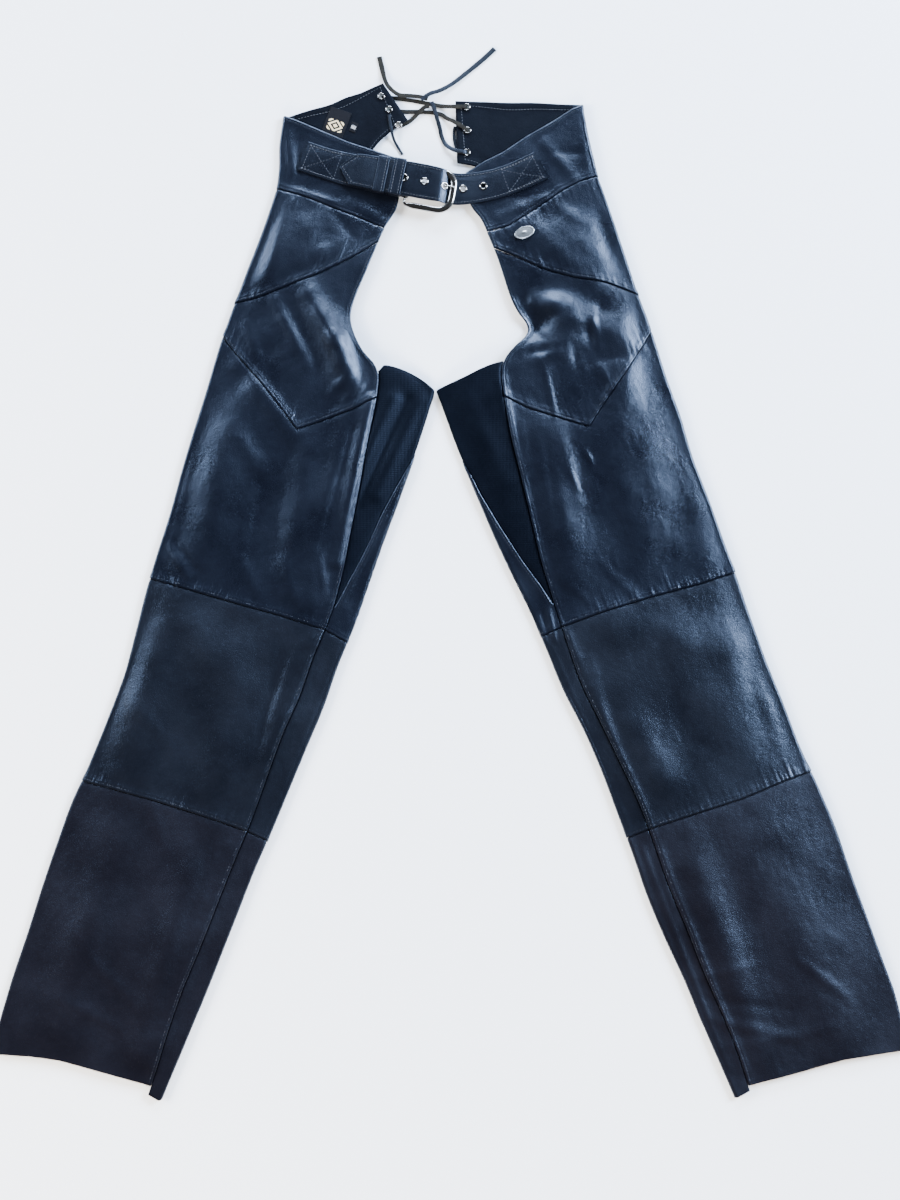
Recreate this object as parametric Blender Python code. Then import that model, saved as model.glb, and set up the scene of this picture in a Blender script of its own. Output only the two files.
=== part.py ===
"""Leather chaps laid flat on their back, front side up.

Sizes are in millimetres until a mesh is made. Each leg has its own axes:
"down" runs from the waist seam to the hem, "across" from the outer fold to
the inner one. One flattened tube is read all the way down the leg, and every
panel is a stretch of that tube between two seams. A station says where on
the tube a point is: 0 to 1 over the top from the inner seam to the outer
fold, 1 to 2 round that fold, 2 to 3 under it to the side seam, 3 to 4 along
the underside, 4 to 5 round the inner fold and 5 to 6 over the top again.
"""
import math

import bmesh
import bpy
from mathutils import Vector

MM = 0.001
WALL = 2.0
HALF = WALL / 2
SEAM_GAP = 0.46
# Along the leg: wider at slanted seams, none at a free edge.
HALF_GAPS = {"thigh": 0.32, "chevron": 0.32, "hem": 0, "back_hem": 0}
RESTING_GAP = 0.3
EDGE_HEIGHT = 5.2
FOLD_RADIUS = (EDGE_HEIGHT - HALF) / 2
SIDE_WRAP = 38.0
SWELL_REACH = 28.0
FOLD_FADE = 9.0
LEG_SPREAD = math.radians(20)
CROTCH = 150.0
ORIGIN = (-1.0, 28.5)
BELT_WALL = 2.0
LACE_WALL = 1.3
LACE_SPACING = 8.0

LEATHER = ("black_leather", (0.016, 0.018, 0.026, 1), 0.42, 0.0)
STRETCH = ("stretch_fabric", (0.008, 0.009, 0.016, 1), 0.9, 0.0)
NICKEL = ("nickel", (0.75, 0.74, 0.70, 1), 0.25, 1.0)
LABEL_CLOTH = ("woven_label", (0.03, 0.03, 0.035, 1), 0.85, 0.0)

# The right leg lies at the left of the picture.
# Columns: down, outer fold, front edge or inner seam, inner fold, puff of the upper layer.
RIGHT_SECTIONS = [
    (-95, -26, 116, 250, 0.0),
    (-67, -20, 130, 250, 0.0),
    (-50, -16, 136, 250, 0.0),
    (-28, -8, 140, 250, 0.0),
    (-10, -3, 137, 250, 0.0),
    (0, -1, 135, 250, 0.8),
    (50, 1, 133, 250, 4.5),
    (100, 1, 132, 250, 5.0),
    (120, 1.1, 137, 251, 5.0),
    (135, 1.2, 148, 252, 5.0),
    (150, 1.4, 165, 254, 5.0),
    (158, 1.6, 180, 256, 5.0),
    (168, 1.9, 189, 258, 5.2),
    (184, 2.4, 194.5, 259, 5.3),
    (200, 3, 198, 260, 5.5),
    (250, 7, 206, 262, 6.0),
    (300, 10, 215, 263, 6.0),
    (350, 14, 223, 263, 5.5),
    (400, 19, 231, 264, 5.0),
    (450, 22, 235, 265, 4.5),
    (500, 26, 233, 263, 4.5),
    (550, 32, 234, 264, 5.0),
    (600, 37, 231, 262, 5.0),
    (700, 36, 232, 258, 4.5),
    (750, 33, 230, 255, 4.5),
    (800, 34, 229, 254, 4.5),
    (850, 36, 228, 253, 4.0),
    (900, 39, 226, 252, 3.5),
    (950, 41, 227, 250, 2.5),
    (1000, 45, 230, 248, 1.2),
    (1050, 50, 231, 246, 0.5),
]

LEFT_SECTIONS = [
    (-95, -12, 140, 262, 0.0),
    (-59, -5, 148, 262, 0.0),
    (-40, -2, 152, 262, 0.0),
    (-22, 0, 156, 262, 0.0),
    (0, 3, 150, 262, 0.6),
    (15, 3, 149, 262, 1.6),
    (50, 4, 148, 262, 4.5),
    (100, 6, 150, 262, 5.0),
    (120, 7, 148, 264, 5.0),
    (140, 8, 143, 267, 5.0),
    (150, 8, 151, 268, 5.0),
    (158, 8, 168, 269, 5.0),
    (166, 8, 181, 270, 5.0),
    (176, 8, 189, 270, 5.2),
    (188, 9, 193.5, 270, 5.3),
    (200, 9, 196.5, 270, 5.5),
    (250, 12, 206, 270, 6.0),
    (300, 13, 212, 268, 6.0),
    (350, 17, 218, 266, 5.5),
    (400, 17, 224, 262, 5.0),
    (450, 18, 227, 257, 4.5),
    (500, 19, 229, 254, 4.5),
    (550, 21, 230, 252, 5.0),
    (600, 22, 225, 246, 5.0),
    (650, 21, 220, 243, 4.5),
    (700, 21, 216, 243, 4.5),
    (750, 18, 216, 243, 4.5),
    (800, 16, 217, 244, 4.5),
    (850, 18, 215, 242, 4.0),
    (900, 19, 214, 238, 3.5),
    (950, 20, 211, 236, 2.5),
    (1000, 21, 210, 233, 1.2),
    (1060, 30, 213, 230, 0.5),
]

# Seams. Columns: station round the tube, down.
RIGHT_SEAMS = {
    "top_edge": [(0, -84), (0.45, -83), (0.9, -87), (2, -87)],
    "waist": [(0, 1), (0.2, -1), (0.76, -3), (1, -1), (2, 0), (6, 0)],
    "thigh": [(0, 19), (0.18, 49), (0.39, 79), (0.61, 104), (0.83, 128), (1, 143), (3, 156)],
    "chevron": [(0, 194), (0.14, 219), (0.31, 244), (0.43, 261), (0.56, 243),
                (0.72, 222), (0.88, 204), (1, 189), (3, 174)],
    "knee": [(0, 468), (0.26, 470), (0.49, 474), (0.72, 477), (1, 481), (3, 480), (5, 472), (6, 468)],
    "shin": [(0, 712), (0.29, 713), (0.6, 716), (0.84, 720), (1, 723), (3, 722), (5, 714), (6, 712)],
    "hem": [(0, 1012), (0.33, 1017), (0.59, 1021), (0.77, 1028), (0.96, 1038), (1, 1038), (3, 1037)],
    "back_hem": [(3, 1037), (4, 1026), (5, 1024), (6, 1022)],
}
LEFT_SEAMS = {
    "top_edge": [(0, -59), (0.16, -65), (0.32, -68), (0.53, -77), (0.74, -83), (0.93, -90), (2, -93)],
    "waist": [(0, 16), (0.18, 18), (0.37, 12), (0.53, 6), (0.72, -1), (0.87, -4), (1, -3.5), (2, 0), (6, 0)],
    "thigh": [(0, 37), (0.17, 59), (0.34, 82), (0.56, 104), (0.78, 121), (1, 145), (3, 158)],
    "chevron": [(0, 208), (0.15, 232), (0.32, 255), (0.47, 275), (0.6, 255),
                (0.78, 229), (0.91, 209), (1, 195), (3, 178)],
    "knee": [(0, 482), (0.22, 482), (0.52, 485), (0.81, 490), (1, 491), (3, 490), (5, 484), (6, 482)],
    "shin": [(0, 731), (0.32, 733), (0.56, 735), (0.82, 733), (1, 733), (3, 733), (6, 731)],
    "hem": [(0, 1034), (0.33, 1040), (0.61, 1044), (0.81, 1051), (1, 1058), (3, 1057)],
    "back_hem": [(3, 1057), (4, 1044), (5, 1042), (6, 1040)],
}

# Back yoke. Columns: share of the way to its laced end, then down and across on its two edges.
RIGHT_BACK_YOKE = [
    (0.2, -104, 0, 0, 30),
    (0.4, -120, 22, 0, 60),
    (0.6, -134, 36, 0, 94),
    (0.75, -145, 50, -50, 84),
    (0.88, -156, 62, -95, 92),
    (1.0, -165, 72, -133, 115),
]
LEFT_BACK_YOKE = [
    (0.2, -102, 14, 0, 34),
    (0.4, -114, 42, 0, 70),
    (0.6, -125, 72, 0, 103),
    (0.75, -134, 94, -30, 112),
    (0.88, -141, 113, -60, 130),
    (1.0, -147, 129, -75, 153),
]
YOKE_END_LIFT = 2.3
YOKE_LIFT_FROM = 0.75

# Back thigh, above the gusset. Columns: down, its open inner edge across.
RIGHT_SEAT_EDGE = [(0, 94), (60, 100), (100, 110), (130, 126), (150, 146), (163, 176), (172, 236)]
LEFT_SEAT_EDGE = [(0, 103), (60, 108), (100, 116), (130, 126), (150, 138), (165, 170), (176, 248)]

# Gusset. Columns: down, then how far round from the inner seam its back seam runs.
RIGHT_GUSSET = [
    (172, 92), (186, 86), (200, 79), (212, 73.5), (222, 69), (231, 63.5), (240, 58), (250, 54),
    (262, 50), (287, 41), (320, 31), (357, 23), (406, 9), (440, 1.6),
]
LEFT_GUSSET = [
    (176, 103), (192, 97), (208, 89), (222, 82), (236, 75.5), (248, 69.5), (258, 64.5), (267, 60.5),
    (278, 56.5), (290, 53.5), (306, 50), (325, 44), (345, 38), (394, 21), (430, 8), (455, 1.6),
]
# Its open top edge. Columns: share of the way from the inner seam round to the back seam, down.
RIGHT_GUSSET_TOP = [(0, 165), (0.16, 155), (0.45, 153), (0.7, 161), (0.82, 170), (1, 172)]
LEFT_GUSSET_TOP = [(0, 168), (0.2, 167), (0.45, 170), (0.75, 173), (0.85, 177), (1, 176)]

# Largest folds of the upper layer, soft ridges or (negative) troughs.
# Columns: from down, across, to down, across, half width, height.
RIGHT_FOLDS = [
    (34, 44, 110, 18, 17, 3.0),
    (44, 92, 66, 62, 13, 2.0),
    (120, 120, 190, 150, 16, 3.2),
    (190, 60, 250, 30, 16, -2.2),
    (215, 175, 440, 205, 18, 4.0),
    (260, 50, 430, 60, 26, 2.2),
    (300, 120, 400, 140, 24, -2.0),
    (500, 60, 560, 170, 24, 3.0),
    (560, 60, 690, 90, 26, 2.5),
    (600, 190, 700, 180, 20, 2.4),
    (760, 90, 990, 110, 26, 2.2),
    (780, 190, 980, 205, 16, 2.4),
]
LEFT_FOLDS = [
    (44, 62, 100, 30, 17, 3.0),
    (140, 118, 146, 150, 11, -4.5),
    (116, 126, 134, 90, 12, 4.5),
    (168, 104, 180, 140, 14, 4.5),
    (150, 60, 190, 92, 14, -2.6),
    (170, 40, 260, 60, 16, 3.4),
    (260, 170, 430, 196, 20, 3.6),
    (290, 60, 420, 90, 24, 2.4),
    (500, 170, 570, 60, 24, 3.0),
    (560, 110, 700, 80, 28, 2.5),
    (610, 190, 700, 176, 18, 2.4),
    (780, 110, 990, 100, 26, 2.2),
    (790, 180, 1000, 186, 16, 2.4),
]

LEGS = {
    "right": {
        "side": -1,
        "corner": (-203.6, 484.8),
        "sections": RIGHT_SECTIONS,
        "seams": RIGHT_SEAMS,
        "folds": RIGHT_FOLDS,
        "back_yoke": RIGHT_BACK_YOKE,
        "seat_edge": RIGHT_SEAT_EDGE,
        "gusset": RIGHT_GUSSET,
        "gusset_top": RIGHT_GUSSET_TOP,
    },
    "left": {
        "side": 1,
        "corner": (177.8, 499.4),
        "sections": LEFT_SECTIONS,
        "seams": LEFT_SEAMS,
        "folds": LEFT_FOLDS,
        "back_yoke": LEFT_BACK_YOKE,
        "seat_edge": LEFT_SEAT_EDGE,
        "gusset": LEFT_GUSSET,
        "gusset_top": LEFT_GUSSET_TOP,
    },
}

TOP_STATIONS = [0, 0.08, 0.16, 0.24, 0.32, 0.4, 0.5, 0.6, 0.7, 0.8, 0.9, 1]
FOLD_STATIONS = [0.25, 0.5, 0.75, 1]

# Belt. Columns: x, y, height, width, heading in degrees.
LEFT_STRAP = [
    (-173, 525, 7.5, 37, -22),
    (-150, 517, 7.5, 37, -20),
    (-126, 510, 7.6, 39, -17),
    (-108, 506, 8.8, 40, -14),
    (-94, 503.3, 11.1, 41, -12),
    (-72, 499, 11.1, 41, -11),
    (-58, 496.3, 11.6, 41, -11),
]
BAR = (-49.0, 494.5, 9.7)
BAR_RADIUS = 1.5
BELT_HEADING = -11.0
WRAP_RADIUS = BAR_RADIUS + RESTING_GAP + BELT_WALL / 2
TURN_BACK = [(-56, 495.9, 7.6, 41, -11), (-66, 497.9, 7.6, 41, -11), (-96, 503.7, 7.6, 41, -12)]
RIGHT_STRAP = [
    (-128, 511, 10.6, 2, -16),
    (-124, 510, 10.9, 14, -16),
    (-117, 508.2, 11.6, 30, -15),
    (-110, 506.5, 12.5, 37, -14),
    (-100, 504.5, 13.4, 40, -12),
    (-80, 500.5, 13.4, 41, -11),
    (-66, 497.8, 13.9, 41, -11),
    (-49, 494.5, 15.3, 42, -11),
    (-30, 490.8, 15.6, 42, -10),
    (-15, 487.8, 15.5, 41, -9),
    (-9.5, 486.8, 14.6, 40, -8),
    (-5, 486, 11.4, 40, -7),
    (-1.5, 485.5, 8.4, 39, -6),
    (2, 485, 7.6, 39, -5),
    (15, 484.6, 7.5, 38, 0),
    (38, 487.5, 7.5, 37, 9),
    (60, 493, 7.5, 36, 17),
    (82, 501.5, 7.5, 36, 23),
    (107, 513.5, 7.5, 36, 27),
]
PIERCED_X = -7.0
EYELET_SPACING = 24.0
BELT_EYELET_STEPS = {"a": -2, "b": -1, "c": 0, "d": 1, "e": 2}

# Keepers. Columns: name, x and y of the middle, width along the strap, floor and roof height.
KEEPERS = [
    ("keeper_loose", -80.5, 500.6, 13, 9.35, 15.4),
    ("keeper_sewn", -61.5, 497, 14, 9.35, 18.2),
]
KEEPER_WALL = 1.0
KEEPER_INNER_WIDTH = 42.4
KEEPER_HEADING = -11.0

FRAME_LENGTH = 58.0
FRAME_HALF_WIDTH = 29.0
FRAME_CORNER = 11.0
FRAME_BAND = (5.5, 4.0)
FRAME_FAR_HEIGHT = 11.8
PRONG_RADIUS = 1.2
PRONG_LOOP_RADIUS = BAR_RADIUS + RESTING_GAP + PRONG_RADIUS
# Prong after its loop. Columns: x, height.
PRONG_ROUTE = [
    (-42, 11.4), (-25, 9.4), (-13.5, 8.6), (-10.3, 9.3), (-8.3, 11.3), (-6.5, 13.7), (-4.4, 15.6),
    (-1.2, 16.2), (5.5, 15.7),
]

EYELET_RIM = 4.8
EYELET_HOLE = 2.9
EYELET_BARREL = 3.4
EYELET_PROUD = 0.8
PUNCHED_HOLE = 3.8

# Laced ends of the back yoke. Columns: name, down, across.
RIGHT_LACE_EYELETS = [("top", -149, 76), ("middle", -137, 90), ("bottom", -123, 107)]
LEFT_LACE_EYELETS = [("top", -135, 119), ("middle", -108, 128), ("bottom", -83, 138)]

# Lace. Columns: x, y, height, width.
LACE = {
    "lace_run_upper": [
        (19.8, 585.6, 3.2, 3.2), (19.4, 585.6, 5.2, 3.4), (17.2, 585.6, 6.5, 4), (11, 585.6, 6.6, 5),
        (2, 586, 5.4, 5), (-10, 588, 1.6, 5), (-24, 591, 0.9, 5), (-45, 595, 0.9, 5),
        (-64, 598, 0.9, 5), (-77, 599, 0.9, 4), (-81.2, 598.8, 1.2, 3.4),
    ],
    "lace_run_middle": [
        (20.6, 557.1, 3.2, 3.2), (20.3, 557.3, 5.2, 3.4), (18.2, 558.8, 6.5, 4), (12, 563, 6.7, 5),
        (4, 568, 5.4, 5), (-3.5, 573, 1.6, 5), (-12, 578.5, 0.9, 5), (-30, 581, 0.9, 5),
        (-54, 581.5, 0.9, 5), (-67, 582.5, 0.9, 4), (-72, 582.7, 1.2, 3.4),
    ],
    "lace_run_lower": [
        (19.7, 530.2, 3.2, 3.2), (19.3, 530.2, 5.2, 3.4), (17.2, 530.3, 6.5, 4), (11, 531, 6.6, 5),
        (3, 534, 5.0, 5), (-5, 541, 1.6, 5), (-9.5, 550, 1.0, 5), (-12.5, 563, 1.6, 5),
        (-15.5, 573, 2.7, 5), (-18.5, 584, 3.2, 5), (-22, 592.5, 3.4, 5),
    ],
    "lace_crossing": [
        (-59, 563, 0.9, 3.6), (-54, 566, 0.9, 5), (-46, 571, 1.2, 5), (-38, 578.5, 2.8, 5),
        (-31, 585, 4.3, 5), (-24.5, 586.8, 4.9, 4.6),
    ],
    "lace_side": [
        (6.2, 563, 0.9, 4), (4.8, 556, 0.9, 4), (5.4, 546, 0.9, 4), (7.6, 537, 0.9, 4),
    ],
    "lace_tail_right": [
        (-84, 649, 0.9, 6), (-81, 636, 1.0, 6), (-76.5, 618, 3.4, 5), (-70, 607.5, 5.2, 5),
        (-60, 600.5, 5.2, 5), (-48, 600, 3.6, 5), (-36, 599, 3.0, 5), (-26.5, 596, 3.2, 4.6),
    ],
    "lace_tail_left": [
        (53, 659, 0.9, 6), (40, 646.5, 0.9, 6), (22, 631, 1.2, 5.4), (3, 615.5, 2.2, 5),
        (-12, 606.5, 3.8, 5), (-24, 602, 4.9, 5), (-34, 594.5, 4.9, 4.6),
    ],
    "lace_tail_lower": [
        (-72, 576, 5.4, 3.6), (-70.8, 567, 5.4, 3.4), (-69.4, 559, 5.4, 3.4), (-67.8, 551, 4.6, 3.4),
        (-65, 544, 1.8, 3.2), (-61, 537, 0.9, 3.2), (-56, 529, 0.9, 3),
    ],
}

BADGE = {"down": 33, "across": 108.5, "half_length": 12.2, "half_width": 7.3, "dome": 1.0}
LABEL = {"down": (-118, -78), "across": (24, 50)}
SIZE_TAG = {"down": (-109, -97), "across": (54, 62)}
LABEL_THICK = 0.6


def clear_scene():
    for obj in list(bpy.data.objects):
        bpy.data.objects.remove(obj, do_unlink=True)


def straight(rows, x, column=1):
    """Value of a table's column at x, straight between its rows."""
    if x <= rows[0][0]:
        return rows[0][column]
    for a, b in zip(rows, rows[1:]):
        if x <= b[0]:
            share = (x - a[0]) / (b[0] - a[0])
            return a[column] + (b[column] - a[column]) * share
    return rows[-1][column]


def curved(rows, x, column):
    """Value of a table's column at x, on a smooth curve through its rows."""
    x = min(max(x, rows[0][0]), rows[-1][0])
    i = 0
    while i < len(rows) - 2 and x > rows[i + 1][0]:
        i += 1
    a, b = rows[i], rows[i + 1]
    before = rows[max(i - 1, 0)]
    after = rows[min(i + 2, len(rows) - 1)]
    span = b[0] - a[0]
    slope_a = (b[column] - before[column]) / (b[0] - before[0])
    slope_b = (after[column] - a[column]) / (after[0] - a[0])
    t = (x - a[0]) / span
    return (
        (2 * t**3 - 3 * t**2 + 1) * a[column]
        + (t**3 - 2 * t**2 + t) * span * slope_a
        + (3 * t**2 - 2 * t**3) * b[column]
        + (t**3 - t**2) * span * slope_b
    )


def blend(x, start, end):
    """0 before start, 1 after end, smooth between."""
    t = min(max((x - start) / (end - start), 0), 1)
    return t * t * (3 - 2 * t)


def swell(distance, reach):
    distance = max(distance, 0)
    return distance**2 / (distance**2 + reach**2)


class Leg:
    """One leg with its half of the yoke, as a flattened tube."""

    def __init__(self, table):
        self.side = table["side"]
        self.corner = Vector((table["corner"][0] - ORIGIN[0], table["corner"][1] - ORIGIN[1], 0))
        self.sections = table["sections"]
        self.seams = table["seams"]
        self.folds = table["folds"]
        self.back_yoke = table["back_yoke"]
        self.seat_edge = table["seat_edge"]
        self.gusset = table["gusset"]
        self.gusset_top = table["gusset_top"]
        sine, cosine = math.sin(LEG_SPREAD), math.cos(LEG_SPREAD)
        self.down_axis = Vector((self.side * sine, -cosine, 0))
        self.across_axis = Vector((-self.side * cosine, -sine, 0))

    def place(self, down, across, height):
        return self.corner + self.down_axis * down + self.across_axis * across + Vector((0, 0, height))

    def seam(self, name, station):
        return straight(self.seams[name], station)

    def outer(self, down):
        return curved(self.sections, down, 1) + HALF + FOLD_RADIUS

    def edge(self, down):
        return curved(self.sections, down, 2)

    def inner(self, down):
        return curved(self.sections, down, 3) - HALF - FOLD_RADIUS

    def height(self, down, across):
        """Middle of the upper layer above the floor."""
        open_edge = self.edge(down) + 12
        closed = blend(down, CROTCH - 40, CROTCH + 25)
        limit = open_edge + (self.inner(down) - open_edge) * closed
        from_outer = across - self.outer(down)
        from_inner = limit - across
        rise = curved(self.sections, down, 4) * swell(from_outer, SWELL_REACH) * swell(from_inner, SWELL_REACH)
        fade = swell(from_outer, FOLD_FADE) * swell(from_inner, FOLD_FADE)
        for d0, a0, d1, a1, width, size in self.folds:
            along = Vector((d1 - d0, a1 - a0))
            offset = Vector((down - d0, across - a0))
            share = min(max(offset.dot(along) / along.length_squared, 0), 1)
            distance = (offset - along * share).length
            rise += size * fade * math.exp(-((distance / width) ** 2)) * (1 - 0.25 * math.cos(6 * share))
        return EDGE_HEIGHT + max(rise, -1.2)

    def point(self, down, station):
        """Middle of the wall at a station of the tube."""
        outer, inner, edge = self.outer(down), self.inner(down), self.edge(down)
        side = curved(self.sections, down, 1) + SIDE_WRAP
        middle = HALF + FOLD_RADIUS
        if station <= 1:
            across = edge + (outer - edge) * station
            return self.place(down, across, self.height(down, across))
        if station <= 2:
            turn = math.pi * (station - 1)
            return self.place(down, outer - FOLD_RADIUS * math.sin(turn), middle + FOLD_RADIUS * math.cos(turn))
        if station <= 3:
            return self.place(down, outer + (side - outer) * (station - 2), HALF)
        if station <= 4:
            return self.place(down, side + (inner - side) * (station - 3), HALF)
        if station <= 5:
            turn = math.pi * (station - 4)
            return self.place(down, inner + FOLD_RADIUS * math.sin(turn), middle - FOLD_RADIUS * math.cos(turn))
        across = inner + (edge - inner) * (station - 5)
        return self.place(down, across, self.height(down, across))

    def normal(self, down, station):
        """Direction out of the wall, always from the smooth tube."""
        if 2 < station < 4:
            return Vector((0, 0, -1))
        step = 0.01
        low = max(station - step, 0)
        high = min(station + step, 6)
        round_it = self.point(down, high) - self.point(down, low)
        down_it = self.point(down + 1, station) - self.point(down - 1, station)
        return (round_it.cross(down_it) * -self.side).normalized()

    def wall_point(self, down, station):
        return (self.point(down, station), self.normal(down, station))

    def around(self, down, distance):
        """Station that lies a distance round from the inner seam towards the back."""
        strip = self.inner(down) - self.edge(down)
        fold = math.pi * FOLD_RADIUS
        if distance <= strip:
            return 6 - distance / strip
        if distance <= strip + fold:
            return 5 - (distance - strip) / fold
        under = self.inner(down) - (curved(self.sections, down, 1) + SIDE_WRAP)
        return 4 - (distance - strip - fold) / under


def material(finish):
    name, colour, roughness, metallic = finish
    made = bpy.data.materials.get(name)
    if made:
        return made
    made = bpy.data.materials.new(name)
    made.use_nodes = True
    shader = made.node_tree.nodes["Principled BSDF"]
    shader.inputs["Base Color"].default_value = colour
    shader.inputs["Roughness"].default_value = roughness
    shader.inputs["Metallic"].default_value = metallic
    return made


def make_object(name, verts, faces, finish):
    """Closed mesh from millimetre points, its faces turned out."""
    mesh = bpy.data.meshes.new(name)
    mesh.from_pydata([tuple(v * MM for v in p) for p in verts], [], faces)
    bm = bmesh.new()
    bm.from_mesh(mesh)
    bmesh.ops.recalc_face_normals(bm, faces=bm.faces)
    bm.to_mesh(mesh)
    bm.free()
    mesh.shade_smooth()
    mesh.set_sharp_from_angle(angle=math.radians(35))
    mesh.materials.append(material(finish))
    obj = bpy.data.objects.new(name, mesh)
    bpy.context.collection.objects.link(obj)
    return obj


def wall(name, grid, finish, half=HALF, lift=0.0):
    """Closed wall on both sides of a grid of (middle, normal) pairs."""
    rows, cols = len(grid), len(grid[0])
    verts = []
    for sign in (1, -1):
        for row in grid:
            verts += [p + n * (lift + sign * half) for p, n in row]
    top = rows * cols
    faces = []
    for r in range(rows - 1):
        for c in range(cols - 1):
            a, b = r * cols + c, r * cols + c + 1
            d, e = a + cols, b + cols
            faces.append((a, b, e, d))
            faces.append((top + d, top + e, top + b, top + a))
    last_row = (rows - 1) * cols
    rim = [(start + c, start + c + 1) for start in (0, last_row) for c in range(cols - 1)]
    rim += [(c + r * cols, c + (r + 1) * cols) for c in (0, cols - 1) for r in range(rows - 1)]
    for a, b in rim:
        faces.append((a, top + a, top + b))
        faces.append((a, top + b, b))
    return make_object(name, verts, faces, finish)


def panel(name, leg, upper, lower, stations, rows, finish=LEATHER):
    """Wall between two seams, over a list of stations."""
    grid = []
    for r in range(rows + 1):
        share = r / rows
        row = []
        for station in stations:
            start = leg.seam(upper, station) + HALF_GAPS.get(upper, SEAM_GAP / 2)
            end = leg.seam(lower, station) - HALF_GAPS.get(lower, SEAM_GAP / 2)
            row.append(leg.wall_point(start + (end - start) * share, station))
        grid.append(row)
    return wall(name, grid, finish)


def front_stations(leg, seam_name=None):
    """Stations of a front panel, with the seam's own corner points among them."""
    tops = list(TOP_STATIONS)
    if seam_name:
        corner = max(leg.seams[seam_name][:-2], key=lambda row: row[1])[0]
        tops = [s for s in tops if abs(s - corner) > 0.045] + [corner]
    inset = SEAM_GAP / 2 / 200
    tops = [inset if s == 0 else s for s in sorted(tops)]
    return tops + [1 + s for s in FOLD_STATIONS] + [3 - inset * 5]


def front_panels(side, leg):
    plain = front_stations(leg)
    pointed = front_stations(leg, "chevron")
    panel(f"thigh_upper_{side}", leg, "waist", "thigh", plain, 5)
    panel(f"thigh_chevron_{side}", leg, "thigh", "chevron", pointed, 11)
    panel(f"thigh_lower_{side}", leg, "chevron", "knee", pointed, 10)
    panel(f"knee_front_{side}", leg, "knee", "shin", plain, 8)
    panel(f"shin_front_{side}", leg, "shin", "hem", plain, 10)


def back_stations(last):
    """Stations from the side seam round the inner fold, up to the last one."""
    start = 3 + SEAM_GAP / 2 / 200
    if last <= 4:
        return [start + (last - start) * i / 8 for i in range(9)]
    if last <= 5:
        return [start, 3.5, 4] + [4 + (last - 4) * i / 6 for i in range(1, 7)]
    return [start, 3.5, 4, 4.25, 4.5, 4.75, 5, (5 + last) / 2, last]


def gusset_stations(last):
    """Stations from the inner seam back to the gusset's back seam."""
    start = 6 - SEAM_GAP / 2 / 16
    if last <= 4:
        return [start, 5.67, 5.33, 5, 4.75, 4.5, 4.25, 4, last]
    if last <= 5:
        return [start, 5.67, 5.33, 5] + [5 + (last - 5) * i / 5 for i in range(1, 6)]
    return [start + (last - start) * i / 8 for i in range(9)]


def gusset_rows(leg):
    """Down values that the gusset and the back thigh share along their seam."""
    return [row[0] for row in leg.gusset]


def back_panels(side, leg):
    half_gap = SEAM_GAP / 2
    shared = gusset_rows(leg)
    seat = [row[0] for row in leg.seat_edge]
    seat = seat[:1] + [30] + seat[1:-1]
    downs = seat + shared + [leg.seam("knee", 6)]
    grid = []
    for i, down in enumerate(downs):
        if down < shared[0]:
            side_line = curved(leg.sections, down, 1) + SIDE_WRAP
            reach = straight(leg.seat_edge, down) - side_line
            last = 3 + reach / (leg.inner(down) - side_line)
        elif down <= shared[-1]:
            last = leg.around(down, straight(leg.gusset, down) + half_gap)
        else:
            last = 6 - half_gap / 30
        row = []
        for station in back_stations(last):
            at = down
            if i == 0:
                at = leg.seam("waist", station) + half_gap
            if i == len(downs) - 1:
                at = leg.seam("knee", station) - half_gap
            row.append(leg.wall_point(at, station))
        grid.append(row)
    wall(f"thigh_back_{side}", grid, LEATHER)
    strip = back_stations(6 - half_gap / 25)
    panel(f"knee_back_{side}", leg, "knee", "shin", strip, 8)
    panel(f"shin_back_{side}", leg, "shin", "back_hem", strip, 10)


def gusset(side, leg):
    half_gap = SEAM_GAP / 2
    shared = gusset_rows(leg)
    grid = []
    for down in shared:
        share = (down - shared[0]) / (shared[-1] - shared[0])
        last = leg.around(down, straight(leg.gusset, down) - half_gap)
        stations = gusset_stations(last)
        row = []
        for c, station in enumerate(stations):
            top = straight(leg.gusset_top, c / (len(stations) - 1))
            at = top + (shared[-1] - top) * share
            if station == last:
                at = down
            row.append(leg.wall_point(at, station))
        grid.append(row)
    wall(f"gusset_{side}", grid, STRETCH)


def cylinder(name, centre, axis, radius, depth, sides=14):
    bpy.ops.mesh.primitive_cylinder_add(
        vertices=sides, radius=radius * MM, depth=depth * MM, location=tuple(centre * MM)
    )
    obj = bpy.context.active_object
    obj.name = name
    obj.rotation_euler = axis.to_track_quat("Z", "Y").to_euler()
    return obj


def cut(obj, cutter):
    cutter.hide_render = True
    cutter.display_type = "WIRE"
    boolean = obj.modifiers.new(cutter.name, "BOOLEAN")
    boolean.operation = "DIFFERENCE"
    boolean.object = cutter


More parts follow.
